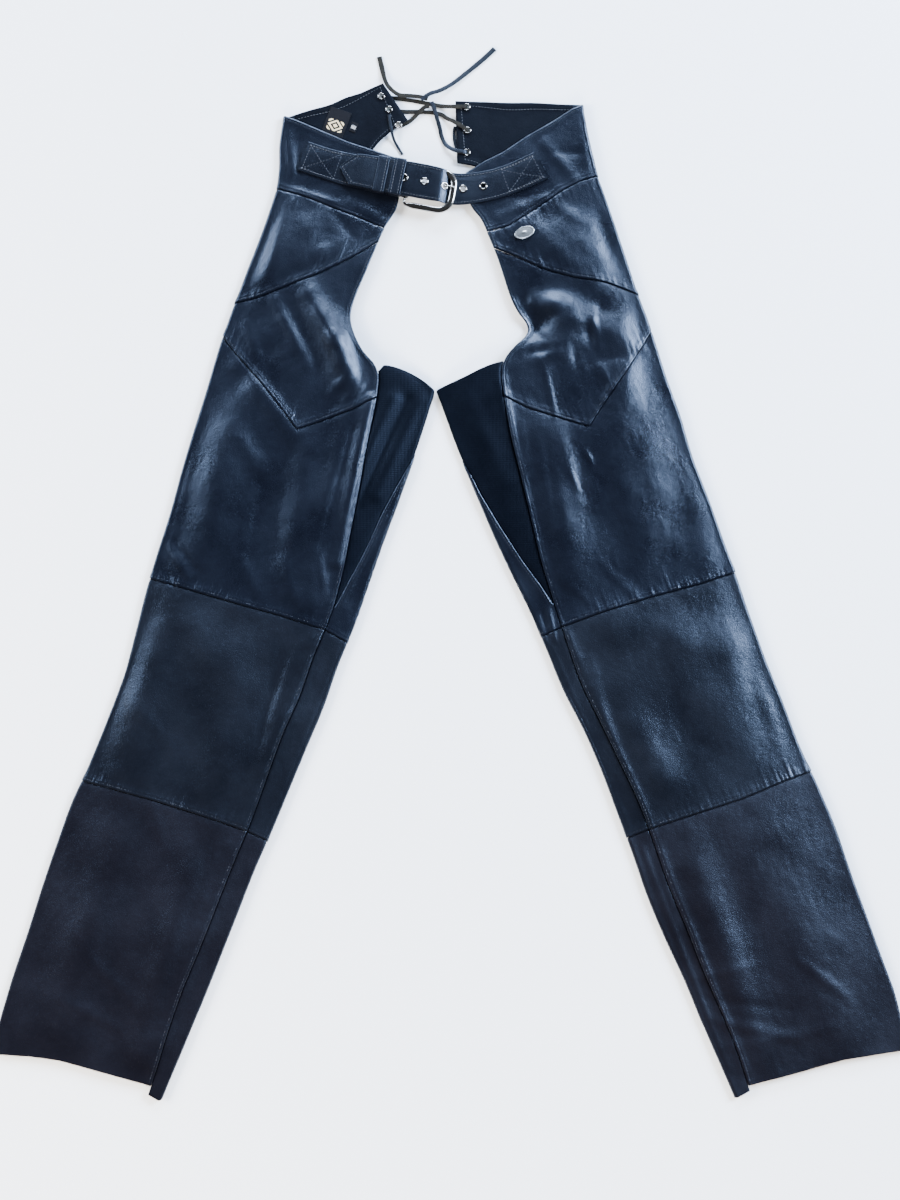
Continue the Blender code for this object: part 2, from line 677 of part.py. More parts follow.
def yoke(side, leg, eyelets):
    """Front layer, hip fold and back layer of one half of the waist yoke, in one piece."""
    half_gap = SEAM_GAP / 2
    rows = 4
    stations = [0.002] + TOP_STATIONS[1:] + [1 + s for s in FOLD_STATIONS]
    grid = []
    for r in range(rows + 1):
        share = r / rows
        row = []
        for station in stations:
            start = leg.seam("top_edge", station)
            end = leg.seam("waist", station) - half_gap
            row.append(leg.wall_point(start + (end - start) * share, station))
        for part, top_down, top_across, low_down, low_across in leg.back_yoke:
            down = top_down + (low_down - half_gap - top_down) * share
            across = top_across + (low_across - top_across) * share
            lift = YOKE_END_LIFT * blend(part, YOKE_LIFT_FROM, 1)
            row.append((leg.place(down, across, HALF + lift), Vector((0, 0, -1))))
        grid.append(row)
    obj = wall(f"yoke_{side}", grid, LEATHER)
    for name, down, across in eyelets:
        centre = leg.place(down, across, HALF + YOKE_END_LIFT)
        cut(obj, cylinder(f"cutter_{side}_{name}", centre, Vector((0, 0, 1)), PUNCHED_HOLE, 12))
        eyelet(f"lace_eyelet_{side}_{name}", centre, Vector((0, 0, 1)), HALF)
    return obj


def eyelet(name, centre, axis, half):
    """Turned ring: a rim on the face and a barrel through the leather."""
    sides = 12
    foot = -half + 0.2
    face = half + RESTING_GAP
    profile = [
        (EYELET_HOLE, foot),
        (EYELET_BARREL, foot),
        (EYELET_BARREL, face),
        (EYELET_RIM, face),
        (EYELET_RIM - 0.5, face + EYELET_PROUD),
        (EYELET_HOLE, face + EYELET_PROUD * 0.8),
    ]
    turn = axis.to_track_quat("Z", "Y")
    verts = []
    for i in range(sides):
        angle = 2 * math.pi * i / sides
        for radius, height in profile:
            local = Vector((radius * math.cos(angle), radius * math.sin(angle), height))
            verts.append(centre + turn @ local)
    count = len(profile)
    faces = []
    for i in range(sides):
        j = (i + 1) % sides
        for k in range(count):
            m = (k + 1) % count
            faces.append((i * count + k, j * count + k, j * count + m, i * count + m))
    return make_object(name, verts, faces, NICKEL)


def smooth_rows(rows, spacing):
    """Rows read off a smooth curve through a route's own rows."""
    out = []
    for i in range(len(rows) - 1):
        before = rows[max(i - 1, 0)]
        after = rows[min(i + 2, len(rows) - 1)]
        a, b = rows[i], rows[i + 1]
        length = (Vector(b[:3]) - Vector(a[:3])).length
        steps = max(int(round(length / spacing)), 1)
        for k in range(steps):
            t = k / steps
            out.append(tuple(
                0.5 * (2 * q + (r - p) * t + (2 * p - 5 * q + 4 * r - s) * t**2 + (3 * q - p - 3 * r + s) * t**3)
                for p, q, r, s in zip(before, a, b, after)
            ))
    out.append(tuple(float(v) for v in rows[-1]))
    return out


def shifted(x, y, z):
    return Vector((x - ORIGIN[0], y - ORIGIN[1], z))


def strip(name, rows, thick, finish, headings=True):
    """Flat strap along rows of x, y, height, width and, for a belt, heading."""
    points = [shifted(*row[:3]) for row in rows]
    grid_verts = []
    side_way = Vector((0, 1, 0))
    for i, row in enumerate(rows):
        tangent = (points[min(i + 1, len(rows) - 1)] - points[max(i - 1, 0)]).normalized()
        if headings:
            heading = math.radians(row[4])
            side_way = Vector((-math.sin(heading), math.cos(heading), 0))
        elif tangent.xy.length > 0.3:
            turned = Vector((-tangent.y, tangent.x, 0)).normalized()
            side_way = turned if turned.dot(side_way) > 0 else -turned
        out = tangent.cross(side_way).normalized()
        half_width = side_way * (row[3] / 2)
        for across, up in ((1, 1), (-1, 1), (-1, -1), (1, -1)):
            grid_verts.append(points[i] + half_width * across + out * (up * thick / 2))
    faces = []
    for i in range(len(rows) - 1):
        for k in range(4):
            m = (k + 1) % 4
            faces.append((i * 4 + k, i * 4 + m, i * 4 + 4 + m, i * 4 + 4 + k))
    last = (len(rows) - 1) * 4
    faces += [(0, 3, 2, 1), (last, last + 1, last + 2, last + 3)]
    return make_object(name, grid_verts, faces, finish)


def turn_round_bar():
    """Rows of the left strap where it folds round the buckle's bar."""
    rows = []
    x, y, z = BAR
    heading = math.radians(BELT_HEADING)
    for i in range(7):
        turn = math.pi * (i / 6)
        reach = WRAP_RADIUS * math.sin(turn)
        rows.append((
            x + reach * math.cos(heading),
            y + reach * math.sin(heading),
            z + WRAP_RADIUS * math.cos(turn),
            LEFT_STRAP[-1][3],
            BELT_HEADING,
        ))
    return rows


def belt_straps():
    over = smooth_rows(LEFT_STRAP + turn_round_bar()[:1], 9)[:-1]
    under = smooth_rows(turn_round_bar()[-1:] + TURN_BACK, 9)[1:]
    left = strip("strap_left", over + turn_round_bar() + under, BELT_WALL, LEATHER)
    slot_centre = shifted(BAR[0] + 1, BAR[1] - 0.2, BAR[2])
    bpy.ops.mesh.primitive_cube_add(size=1, location=tuple(slot_centre * MM))
    slot = bpy.context.active_object
    slot.name = "cutter_slot"
    slot.scale = (12 * MM, 4.4 * MM, 12 * MM)
    slot.rotation_euler = (0, 0, math.radians(BELT_HEADING))
    cut(left, slot)
    path = smooth_rows(RIGHT_STRAP, 6)
    right = strip("strap_right", path, BELT_WALL, LEATHER)
    centres = eyelet_places(path)
    for label, (centre, axis) in centres.items():
        cut(right, cylinder(f"cutter_belt_{label}", centre, axis, PUNCHED_HOLE, 8))
        eyelet(f"belt_eyelet_{label}", centre, axis, BELT_WALL / 2)


def eyelet_places(path):
    """Middle and axis of each belt eyelet, evenly along the strap from the pierced one."""
    points = [shifted(*row[:3]) for row in path]
    lengths = [0]
    for a, b in zip(points, points[1:]):
        lengths.append(lengths[-1] + (b - a).length)
    pierced = straight([(p.x + ORIGIN[0], s) for p, s in zip(points, lengths)], PIERCED_X)
    places = {}
    for label, steps in BELT_EYELET_STEPS.items():
        at = pierced + steps * EYELET_SPACING
        i = max(k for k in range(len(lengths) - 1) if lengths[k] <= at)
        share = (at - lengths[i]) / (lengths[i + 1] - lengths[i])
        along = (points[i + 1] - points[i]).normalized()
        heading = math.radians(path[i][4])
        side_way = Vector((-math.sin(heading), math.cos(heading), 0))
        places[label] = (points[i].lerp(points[i + 1], share), along.cross(side_way).normalized())
    return places


def ring_along(name, centres, sections, finish):
    """Closed ring or open tube through centres, each with its own section points."""
    count = len(sections[0])
    verts = [c + offset for c, section in zip(centres, sections) for offset in section]
    faces = []
    total = len(centres)
    for i in range(total):
        j = (i + 1) % total
        for k in range(count):
            m = (k + 1) % count
            faces.append((i * count + k, i * count + m, j * count + m, j * count + k))
    return make_object(name, verts, faces, finish)


def keepers():
    heading = math.radians(KEEPER_HEADING)
    along = Vector((math.cos(heading), math.sin(heading), 0))
    side_way = Vector((-math.sin(heading), math.cos(heading), 0))
    up = Vector((0, 0, 1))
    half_width = KEEPER_INNER_WIDTH / 2 + KEEPER_WALL / 2
    for name, x, y, length, floor, roof in KEEPERS:
        middle = shifted(x, y, (floor + roof) / 2)
        half_height = (roof - floor) / 2
        corner = 1.0
        outline = []
        for across, rise, start in ((1, 1, 0), (-1, 1, 90), (-1, -1, 180), (1, -1, 270)):
            for step in (0, 45, 90):
                angle = math.radians(start + step)
                outline.append((
                    across * (half_width - corner) + corner * math.cos(angle),
                    rise * (half_height - corner) + corner * math.sin(angle),
                    Vector((math.cos(angle), math.sin(angle))),
                ))
        centres = [middle + side_way * u + up * v for u, v, out in outline]
        sections = []
        for u, v, out in outline:
            outward = (side_way * out.x + up * out.y) * (KEEPER_WALL / 2)
            reach = along * (length / 2)
            sections.append([reach + outward, -reach + outward, -reach - outward, reach - outward])
        ring_along(name, centres, sections, LEATHER)


def buckle():
    heading = math.radians(BELT_HEADING)
    along = Vector((math.cos(heading), math.sin(heading), 0))
    side_way = Vector((-math.sin(heading), math.cos(heading), 0))
    bar = shifted(*BAR)
    far_end = FRAME_LENGTH - 4
    half_width = FRAME_HALF_WIDTH - FRAME_BAND[0] / 2
    outline = [(0, -half_width + 4), (0, -8), (0, 8), (0, half_width - 4), (1.2, half_width - 1.2)]
    outline.append((4, half_width))
    outline.append((18, half_width))
    outline.append((32, half_width))
    for step in range(0, 91, 18):
        angle = math.radians(90 - step)
        outline.append((
            far_end - FRAME_CORNER + FRAME_CORNER * math.cos(angle),
            half_width - FRAME_CORNER + FRAME_CORNER * math.sin(angle),
        ))
    mirrored = [(u, -v) for u, v in reversed(outline[4:])]
    outline = outline + [(far_end, 0)] + mirrored
    centres = []
    sections = []
    for i, (u, v) in enumerate(outline):
        before, after = outline[i - 1], outline[(i + 1) % len(outline)]
        ahead = Vector((after[0] - before[0], after[1] - before[1])).normalized()
        outward_plan = Vector((ahead.y, -ahead.x))
        if outward_plan.dot(Vector((u - far_end / 2, v))) < 0:
            outward_plan = -outward_plan
        outward = along * outward_plan.x + side_way * outward_plan.y
        share = blend(u, 0, 12)
        wide = BAR_RADIUS * (1 - share) + FRAME_BAND[0] / 2 * share
        tall = BAR_RADIUS * (1 - share) + FRAME_BAND[1] / 2 * share
        height = (FRAME_FAR_HEIGHT - BAR[2]) * u / far_end
        centres.append(bar + along * u + side_way * v + Vector((0, 0, height)))
        ring = []
        for k in range(8):
            angle = 2 * math.pi * k / 8
            ring.append(outward * (wide * math.cos(angle)) + Vector((0, 0, tall * math.sin(angle))))
        sections.append(ring)
    ring_along("buckle_frame", centres, sections, NICKEL)
    prong(bar, along)


def prong(bar, along):
    """Round rod: a loop round the bar, then under the strap and up through its hole."""
    points = []
    for step in range(7):
        angle = math.radians(-30 - 40 * step)
        ring = along * math.cos(angle) + Vector((0, 0, math.sin(angle)))
        points.append(bar + ring * PRONG_LOOP_RADIUS)
    for x, z in PRONG_ROUTE:
        points.append(bar + along * ((x - BAR[0]) / along.x) + Vector((0, 0, z - BAR[2])))
    curve = bpy.data.curves.new("prong", "CURVE")
    curve.dimensions = "3D"
    curve.bevel_depth = PRONG_RADIUS * MM
    curve.bevel_resolution = 2
    curve.use_fill_caps = True
    smooth = smooth_rows([tuple(p) for p in points], 3)
    spline = curve.splines.new("POLY")
    spline.points.add(len(smooth) - 1)
    for target, p in zip(spline.points, smooth):
        target.co = (p[0] * MM, p[1] * MM, p[2] * MM, 1)
    obj = bpy.data.objects.new("buckle_prong", curve)
    bpy.context.collection.objects.link(obj)
    curve.materials.append(material(NICKEL))


def patch(name, leg, spec, surface, thick, finish):
    """Thin rectangle that lies on a layer."""
    low, high = surface + RESTING_GAP, surface + RESTING_GAP + thick
    grid = []
    for down in spec["down"]:
        row = []
        for across in spec["across"]:
            row.append((leg.place(down, across, (low + high) / 2), Vector((0, 0, 1))))
        grid.append(row)
    return wall(name, grid, finish, half=thick / 2)


def badge(leg):
    """Oval badge whose points are the panel's own, moved out."""
    rings = [(0.0, 1.0), (0.55, 0.85), (0.85, 0.5), (1.0, 0.15)]
    sides = 20
    verts = []
    for level in (0, 1):
        for radius, dome in rings[1:]:
            for i in range(sides):
                angle = 2 * math.pi * i / sides
                down = BADGE["down"] + BADGE["half_width"] * radius * math.sin(angle)
                across = BADGE["across"] + BADGE["half_length"] * radius * math.cos(angle)
                height = leg.height(down, across) + HALF + 0.8 + level * (0.6 + BADGE["dome"] * dome)
                verts.append(leg.place(down, across, height))
    for level in (0, 1):
        height = leg.height(BADGE["down"], BADGE["across"]) + HALF + 0.8 + level * (0.6 + BADGE["dome"])
        verts.append(leg.place(BADGE["down"], BADGE["across"], height))
    faces = []
    loops = len(rings) - 1
    for level in (0, 1):
        base = level * loops * sides
        middle = 2 * loops * sides + level
        for i in range(sides):
            j = (i + 1) % sides
            faces.append((middle, base + i, base + j))
            for k in range(loops - 1):
                a = base + k * sides
                faces.append((a + i, a + sides + i, a + sides + j, a + j))
    rim = (loops - 1) * sides
    upper = loops * sides + rim
    for i in range(sides):
        j = (i + 1) % sides
        faces.append((rim + i, upper + i, upper + j, rim + j))
    return make_object("badge", verts, faces, NICKEL)


def lace_pieces():
    for name, rows in LACE.items():
        strip(name, smooth_rows(rows, LACE_SPACING), LACE_WALL, LEATHER, headings=False)


def build():
    clear_scene()
    legs = {side: Leg(table) for side, table in LEGS.items()}
    for side, leg in legs.items():
        front_panels(side, leg)
        back_panels(side, leg)
        gusset(side, leg)
    yoke("right", legs["right"], RIGHT_LACE_EYELETS)
    yoke("left", legs["left"], LEFT_LACE_EYELETS)
    belt_straps()
    keepers()
    buckle()
    patch("inside_label", legs["right"], LABEL, WALL, LABEL_THICK, LABEL_CLOTH)
    patch("size_tag", legs["right"], SIZE_TAG, WALL, LABEL_THICK, LABEL_CLOTH)
    badge(legs["left"])
    lace_pieces()


build()
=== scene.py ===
"""Leather chaps laid flat on their back, front side up.

Sizes are in millimetres until a mesh is made. Each leg has its own axes:
"down" runs from the waist seam to the hem, "across" from the outer fold to
the inner one. One flattened tube is read all the way down the leg. A station
says where on the tube a point is: 0 to 1 over the top from the inner seam to
the outer fold, 1 to 2 round that fold, 2 to 3 under it to the side seam, 3 to
4 along the underside, 4 to 5 round the inner fold and 5 to 6 over the top.
"""
import math

import bmesh
import bpy
import numpy as np
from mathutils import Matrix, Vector


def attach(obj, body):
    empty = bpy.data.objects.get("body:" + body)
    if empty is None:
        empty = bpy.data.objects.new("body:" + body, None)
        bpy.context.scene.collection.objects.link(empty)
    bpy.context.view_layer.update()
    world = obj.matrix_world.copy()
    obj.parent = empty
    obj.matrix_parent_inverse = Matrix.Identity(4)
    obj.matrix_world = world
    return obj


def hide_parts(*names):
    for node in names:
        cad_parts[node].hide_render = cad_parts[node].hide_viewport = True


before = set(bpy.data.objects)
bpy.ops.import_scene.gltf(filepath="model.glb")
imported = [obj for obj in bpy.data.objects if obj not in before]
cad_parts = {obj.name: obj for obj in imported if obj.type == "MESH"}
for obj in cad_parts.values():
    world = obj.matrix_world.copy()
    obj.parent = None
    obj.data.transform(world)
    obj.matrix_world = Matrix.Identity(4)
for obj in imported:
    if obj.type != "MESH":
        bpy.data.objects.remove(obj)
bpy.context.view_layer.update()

MM = 0.001

WALL = 2.0
HALF = WALL / 2
SEAM_GAP = 0.46
HALF_GAPS = {"thigh": 0.32, "chevron": 0.32, "hem": 0, "back_hem": 0}
RESTING_GAP = 0.3
EDGE_HEIGHT = 5.2
FOLD_RADIUS = (EDGE_HEIGHT - HALF) / 2
SIDE_WRAP = 38.0
SWELL_REACH = 28.0
FOLD_FADE = 9.0
LEG_SPREAD = math.radians(20)
CROTCH = 150.0
ORIGIN = (-1.0, 28.5)
BELT_WALL = 2.0
LACE_WALL = 1.3

# The right leg lies at the left of the picture.
# Columns: down, outer fold, front edge or inner seam, inner fold, puff of the upper layer.
RIGHT_SECTIONS = [
    (-95, -26, 116, 250, 0.0),
    (-67, -20, 130, 250, 0.0),
    (-50, -16, 136, 250, 0.0),
    (-28, -8, 140, 250, 0.0),
    (-10, -3, 137, 250, 0.0),
    (0, -1, 135, 250, 0.8),
    (50, 1, 133, 250, 4.5),
    (100, 1, 132, 250, 5.0),
    (120, 1.1, 137, 251, 5.0),
    (135, 1.2, 148, 252, 5.0),
    (150, 1.4, 165, 254, 5.0),
    (158, 1.6, 180, 256, 5.0),
    (168, 1.9, 189, 258, 5.2),
    (184, 2.4, 194.5, 259, 5.3),
    (200, 3, 198, 260, 5.5),
    (250, 7, 206, 262, 6.0),
    (300, 10, 215, 263, 6.0),
    (350, 14, 223, 263, 5.5),
    (400, 19, 231, 264, 5.0),
    (450, 22, 235, 265, 4.5),
    (500, 26, 233, 263, 4.5),
    (550, 32, 234, 264, 5.0),
    (600, 37, 231, 262, 5.0),
    (700, 36, 232, 258, 4.5),
    (750, 33, 230, 255, 4.5),
    (800, 34, 229, 254, 4.5),
    (850, 36, 228, 253, 4.0),
    (900, 39, 226, 252, 3.5),
    (950, 41, 227, 250, 2.5),
    (1000, 45, 230, 248, 1.2),
    (1050, 50, 231, 246, 0.5),
]

LEFT_SECTIONS = [
    (-95, -12, 140, 262, 0.0),
    (-59, -5, 148, 262, 0.0),
    (-40, -2, 152, 262, 0.0),
    (-22, 0, 156, 262, 0.0),
    (0, 3, 150, 262, 0.6),
    (15, 3, 149, 262, 1.6),
    (50, 4, 148, 262, 4.5),
    (100, 6, 150, 262, 5.0),
    (120, 7, 148, 264, 5.0),
    (140, 8, 143, 267, 5.0),
    (150, 8, 151, 268, 5.0),
    (158, 8, 168, 269, 5.0),
    (166, 8, 181, 270, 5.0),
    (176, 8, 189, 270, 5.2),
    (188, 9, 193.5, 270, 5.3),
    (200, 9, 196.5, 270, 5.5),
    (250, 12, 206, 270, 6.0),
    (300, 13, 212, 268, 6.0),
    (350, 17, 218, 266, 5.5),
    (400, 17, 224, 262, 5.0),
    (450, 18, 227, 257, 4.5),
    (500, 19, 229, 254, 4.5),
    (550, 21, 230, 252, 5.0),
    (600, 22, 225, 246, 5.0),
    (650, 21, 220, 243, 4.5),
    (700, 21, 216, 243, 4.5),
    (750, 18, 216, 243, 4.5),
    (800, 16, 217, 244, 4.5),
    (850, 18, 215, 242, 4.0),
    (900, 19, 214, 238, 3.5),
    (950, 20, 211, 236, 2.5),
    (1000, 21, 210, 233, 1.2),
    (1060, 30, 213, 230, 0.5),
]

# Seams. Columns: station round the tube, down.
RIGHT_SEAMS = {
    "top_edge": [(0, -84), (0.45, -83), (0.9, -87), (2, -87)],
    "waist": [(0, 1), (0.2, -1), (0.76, -3), (1, -1), (2, 0), (6, 0)],
    "thigh": [(0, 19), (0.18, 49), (0.39, 79), (0.61, 104), (0.83, 128), (1, 143), (3, 156)],
    "chevron": [(0, 194), (0.14, 219), (0.31, 244), (0.43, 261), (0.56, 243),
                (0.72, 222), (0.88, 204), (1, 189), (3, 174)],
    "knee": [(0, 468), (0.26, 470), (0.49, 474), (0.72, 477), (1, 481), (3, 480), (5, 472), (6, 468)],
    "shin": [(0, 712), (0.29, 713), (0.6, 716), (0.84, 720), (1, 723), (3, 722), (5, 714), (6, 712)],
    "hem": [(0, 1012), (0.33, 1017), (0.59, 1021), (0.77, 1028), (0.96, 1038), (1, 1038), (2, 1036), (3, 1026)],
    "back_hem": [(3, 1026), (3.25, 1019), (3.6, 1013), (3.9, 1011), (4, 1014), (4.6, 1022), (5, 1024), (6, 1022)],
}
LEFT_SEAMS = {
    "top_edge": [(0, -59), (0.16, -65), (0.32, -68), (0.53, -77), (0.74, -83), (0.93, -90), (2, -93)],
    "waist": [(0, 16), (0.18, 18), (0.37, 12), (0.53, 6), (0.72, -1), (0.87, -4), (1, -3.5), (2, 0), (6, 0)],
    "thigh": [(0, 37), (0.17, 59), (0.34, 82), (0.56, 104), (0.78, 121), (1, 145), (3, 158)],
    "chevron": [(0, 208), (0.15, 232), (0.32, 255), (0.47, 275), (0.6, 255),
                (0.78, 229), (0.91, 209), (1, 195), (3, 178)],
    "knee": [(0, 482), (0.22, 482), (0.52, 485), (0.81, 490), (1, 491), (3, 490), (5, 484), (6, 482)],
    "shin": [(0, 731), (0.32, 733), (0.56, 735), (0.82, 733), (1, 733), (3, 733), (6, 731)],
    "hem": [(0, 1034), (0.33, 1040), (0.61, 1044), (0.81, 1051), (1, 1058), (2, 1056), (3, 1046)],
    "back_hem": [(3, 1046), (3.25, 1041), (3.6, 1036), (3.9, 1031), (4, 1034), (4.6, 1041), (5, 1042), (6, 1040)],
}

# Back yoke. Columns: share of the way to its laced end, then down and across on its two edges.
RIGHT_BACK_YOKE = [
    (0.2, -104, 0, 0, 30),
    (0.4, -120, 22, 0, 60),
    (0.6, -134, 36, 0, 94),
    (0.75, -145, 50, -50, 84),
    (0.88, -156, 62, -95, 92),
    (1.0, -165, 72, -133, 115),
]
LEFT_BACK_YOKE = [
    (0.2, -102, 14, 0, 34),
    (0.4, -114, 42, 0, 70),
    (0.6, -125, 72, 0, 103),
    (0.75, -134, 94, -30, 112),
    (0.88, -141, 113, -60, 130),
    (1.0, -147, 129, -75, 153),
]
YOKE_END_LIFT = 2.3
YOKE_LIFT_FROM = 0.75

# Back thigh, above the gusset. Columns: down, its open inner edge across.
RIGHT_SEAT_EDGE = [(0, 94), (60, 100), (100, 110), (130, 126), (150, 146), (163, 176), (172, 236)]
LEFT_SEAT_EDGE = [(0, 103), (60, 108), (100, 116), (130, 126), (150, 138), (165, 170), (176, 248)]

# Gusset. Columns: down, then how far round from the inner seam its back seam runs.
RIGHT_GUSSET = [
    (172, 92), (186, 86), (200, 79), (212, 73.5), (222, 69), (231, 63.5), (240, 58), (250, 54),
    (262, 50), (287, 41), (320, 31), (357, 23), (406, 9), (440, 1.6),
]
LEFT_GUSSET = [
    (176, 103), (192, 97), (208, 89), (222, 82), (236, 75.5), (248, 69.5), (258, 64.5), (267, 60.5),
    (278, 56.5), (290, 53.5), (306, 50), (325, 44), (345, 38), (394, 21), (430, 8), (455, 1.6),
]
# Its open top edge. Columns: share of the way from the inner seam round to the back seam, down.
RIGHT_GUSSET_TOP = [(0, 165), (0.16, 155), (0.45, 153), (0.7, 161), (0.82, 170), (1, 172)]
LEFT_GUSSET_TOP = [(0, 168), (0.2, 167), (0.45, 170), (0.75, 173), (0.85, 177), (1, 176)]

# Largest folds of the upper layer, soft ridges or (negative) troughs.
# Columns: from down, across, to down, across, half width, height.
RIGHT_FOLDS = [
    (34, 44, 110, 18, 17, 3.0),
    (44, 92, 66, 62, 13, 2.0),
    (120, 120, 190, 150, 16, 3.2),
    (190, 60, 250, 30, 16, -2.2),
    (215, 175, 440, 205, 18, 4.0),
    (260, 50, 430, 60, 26, 2.2),
    (300, 120, 400, 140, 24, -2.0),
    (500, 60, 560, 170, 24, 3.0),
    (560, 60, 690, 90, 26, 2.5),
    (600, 190, 700, 180, 20, 2.4),
    (760, 90, 990, 110, 26, 2.2),
    (780, 190, 980, 205, 16, 2.4),
]
LEFT_FOLDS = [
    (44, 62, 100, 30, 17, 3.0),
    (140, 118, 146, 150, 11, -4.5),
    (116, 126, 134, 90, 12, 4.5),
    (168, 104, 180, 140, 14, 4.5),
    (150, 60, 190, 92, 14, -2.6),
    (170, 40, 260, 60, 16, 3.4),
    (260, 170, 430, 196, 20, 3.6),
    (290, 60, 420, 90, 24, 2.4),
    (500, 170, 570, 60, 24, 3.0),
    (560, 110, 700, 80, 28, 2.5),
    (610, 190, 700, 176, 18, 2.4),
    (780, 110, 990, 100, 26, 2.2),
    (790, 180, 1000, 186, 16, 2.4),
]

# Creases and smaller folds, placed one by one.
# Columns: from down, across, to down, across, half width, height.
RIGHT_CREASES = [
    (13, 20, 100, 25, 10, 2.4),
    (-1, 67, 24, 104, 6, -1),
    (15, 58, 75, 58, 7, 1),
    (128, 46, 182, 106, 7, 1.9),
    (132, 70, 191, 124, 11, -1.2),
    (107, 81, 147, 127, 13, 5.6),
    (147, 127, 188, 165, 12, 5.2),
    (164, 24, 213, 63, 7, 0.9),
    (208, 145, 177, 160, 5, 1.2),
    (209, 164, 186, 178, 4, 0.9),
    (214, 36, 267, 120, 12, 2.6),
    (284, 50, 320, 103, 10, 1.4),
    (199, 190, 391, 220, 7, 4.2),
    (241, 184, 379, 197, 6, -1.4),
    (300, 56, 440, 79, 22, 2.8),
    (281, 143, 441, 178, 18, 2.8),
    (331, 107, 422, 127, 8, -0.9),
    (327, 17, 421, 31, 7, 1),
    (439, 32, 465, 67, 4, 1.7),
    (431, 37, 454, 73, 3, -1.2),
    (458, 28, 486, 61, 4, -1),
    (410, 161, 455, 200, 6, 0.8),
    (426, 116, 461, 156, 7, 0.7),
    (395, 202, 436, 225, 4, 0.7),
    (533, 59, 693, 66, 20, 2.8),
    (523, 153, 684, 172, 20, 2.4),
    (507, 196, 634, 213, 8, -1),
    (619, 56, 651, 117, 7, 0.8),
    (489, 213, 586, 213, 5, 0.9),
    (778, 111, 956, 105, 24, 2.6),
    (774, 188, 977, 206, 20, 2.2),
    (905, 118, 930, 176, 6, 0.8),
    (957, 103, 965, 177, 5, 0.7),
    (754, 210, 870, 213, 6, 0.9),
    (716, 117, 763, 153, 6, 0.7),
    (484, 226, 700, 220, 10, 2.8),
    (737, 223, 990, 223, 9, 2.2),
    (484, 259, 703, 252, 4, 1.3),
    (727, 252, 974, 248, 4, 1.2),
    (435, 249, 469, 269, 5, 1),
    (-73, -18, -25, 11, 7, 2),
    (-65, 6, -15, 19, 6, -1),
    (-14, 87, -8, 132, 6, 1.2),
    (-6, 28, -10, 82, 5, 1),
]
LEFT_CREASES = [
    (29, 98, 111, 54, 16, 3.2),
    (45, 19, 104, 23, 9, -1.4),
    (18, 59, 52, 34, 8, 1.2),
    (130, 101, 200, 37, 15, 3.2),
    (146, 67, 190, 74, 6, 1.7),
    (105, 151, 138, 148, 6, 1.1),
    (170, 153, 176, 115, 5, -2),
    (180, 103, 207, 107, 5, -0.8),
    (111, 136, 164, 128, 14, -2.2),
    (141, 129, 156, 75, 11, 3),
    (110, 138, 148, 137, 10, -1.8),
    (150, 91, 186, 87, 6, 0.9),
    (198, 143, 251, 151, 4, 1.1),
    (212, 82, 238, 79, 7, 1.2),
    (205, 91, 214, 33, 7, -1),
    (220, 65, 276, 79, 16, 1.8),
    (241, 191, 311, 205, 5, 1),
    (268, 152, 352, 161, 9, 1.4),
    (273, 172, 366, 191, 6, -0.9),
    (300, 100, 442, 116, 20, 2.4),
    (352, 24, 469, 41, 16, 1.2),
    (300, 132, 316, 130, 3, 1.2),
    (316, 157, 341, 156, 3, 0.5),
    (425, 162, 484, 135, 6, 0.7),
    (455, 236, 494, 241, 3, 1.4),
    (459, 244, 487, 248, 2.5, -1.2),
    (426, 211, 479, 182, 5, 0.7),
    (519, 172, 685, 196, 22, 0.9),
    (538, 55, 676, 72, 22, 1.4),
    (535, 130, 674, 146, 9, -0.35),
    (529, 212, 612, 217, 6, 0.9),
    (616, 39, 687, 42, 8, 0.8),
    (768, 182, 948, 185, 24, 1.3),
    (794, 77, 980, 83, 22, 1),
    (926, 230, 971, 140, 5, -0.6),
    (927, 266, 1005, 141, 6, 0.9),
    (902, 233, 913, 153, 5, 0.6),
    (985, 229, 1008, 95, 5, 0.7),
    (923, 110, 983, 73, 6, 1),
    (767, 217, 847, 224, 6, 0.8),
    (495, 224, 715, 212, 5, 1.3),
    (757, 211, 1015, 210, 5, 1.2),
    (501, 248, 721, 238, 4, 1.3),
    (750, 230, 1008, 228, 4, 1.2),
    (181, 193, 402, 226, 5, 1.3),
    (-68, -6, -11, 8, 7, 2),
    (-62, 48, -10, 30, 7, 1.4),
    (-47, 41, -33, 5, 5, -1),
    (5, 129, 0, 71, 6, 1.2),
]

LEGS = {
    "right": {
        "side": -1,
        "corner": (-203.6, 484.8),
        "sections": RIGHT_SECTIONS,
        "seams": RIGHT_SEAMS,
        "folds": RIGHT_FOLDS,
        "creases": RIGHT_CREASES,
        "gusset_folds": [(190, 214, 330, 206, 10, 3.0), (180, 246, 300, 236, 9, 2.0), (185, 230, 320, 220, 7, -1.5)],
        "back_yoke": RIGHT_BACK_YOKE,
        "seat_edge": RIGHT_SEAT_EDGE,
        "gusset": RIGHT_GUSSET,
        "gusset_top": RIGHT_GUSSET_TOP,
    },
    "left": {
        "side": 1,
        "corner": (177.8, 499.4),
        "sections": LEFT_SECTIONS,
        "seams": LEFT_SEAMS,
        "folds": LEFT_FOLDS,
        "creases": LEFT_CREASES,
        "gusset_folds": [(190, 196, 330, 204, 7, 1.6), (190, 240, 300, 232, 12, 1.2)],
        "back_yoke": LEFT_BACK_YOKE,
        "seat_edge": LEFT_SEAT_EDGE,
        "gusset": LEFT_GUSSET,
        "gusset_top": LEFT_GUSSET_TOP,
    },
}

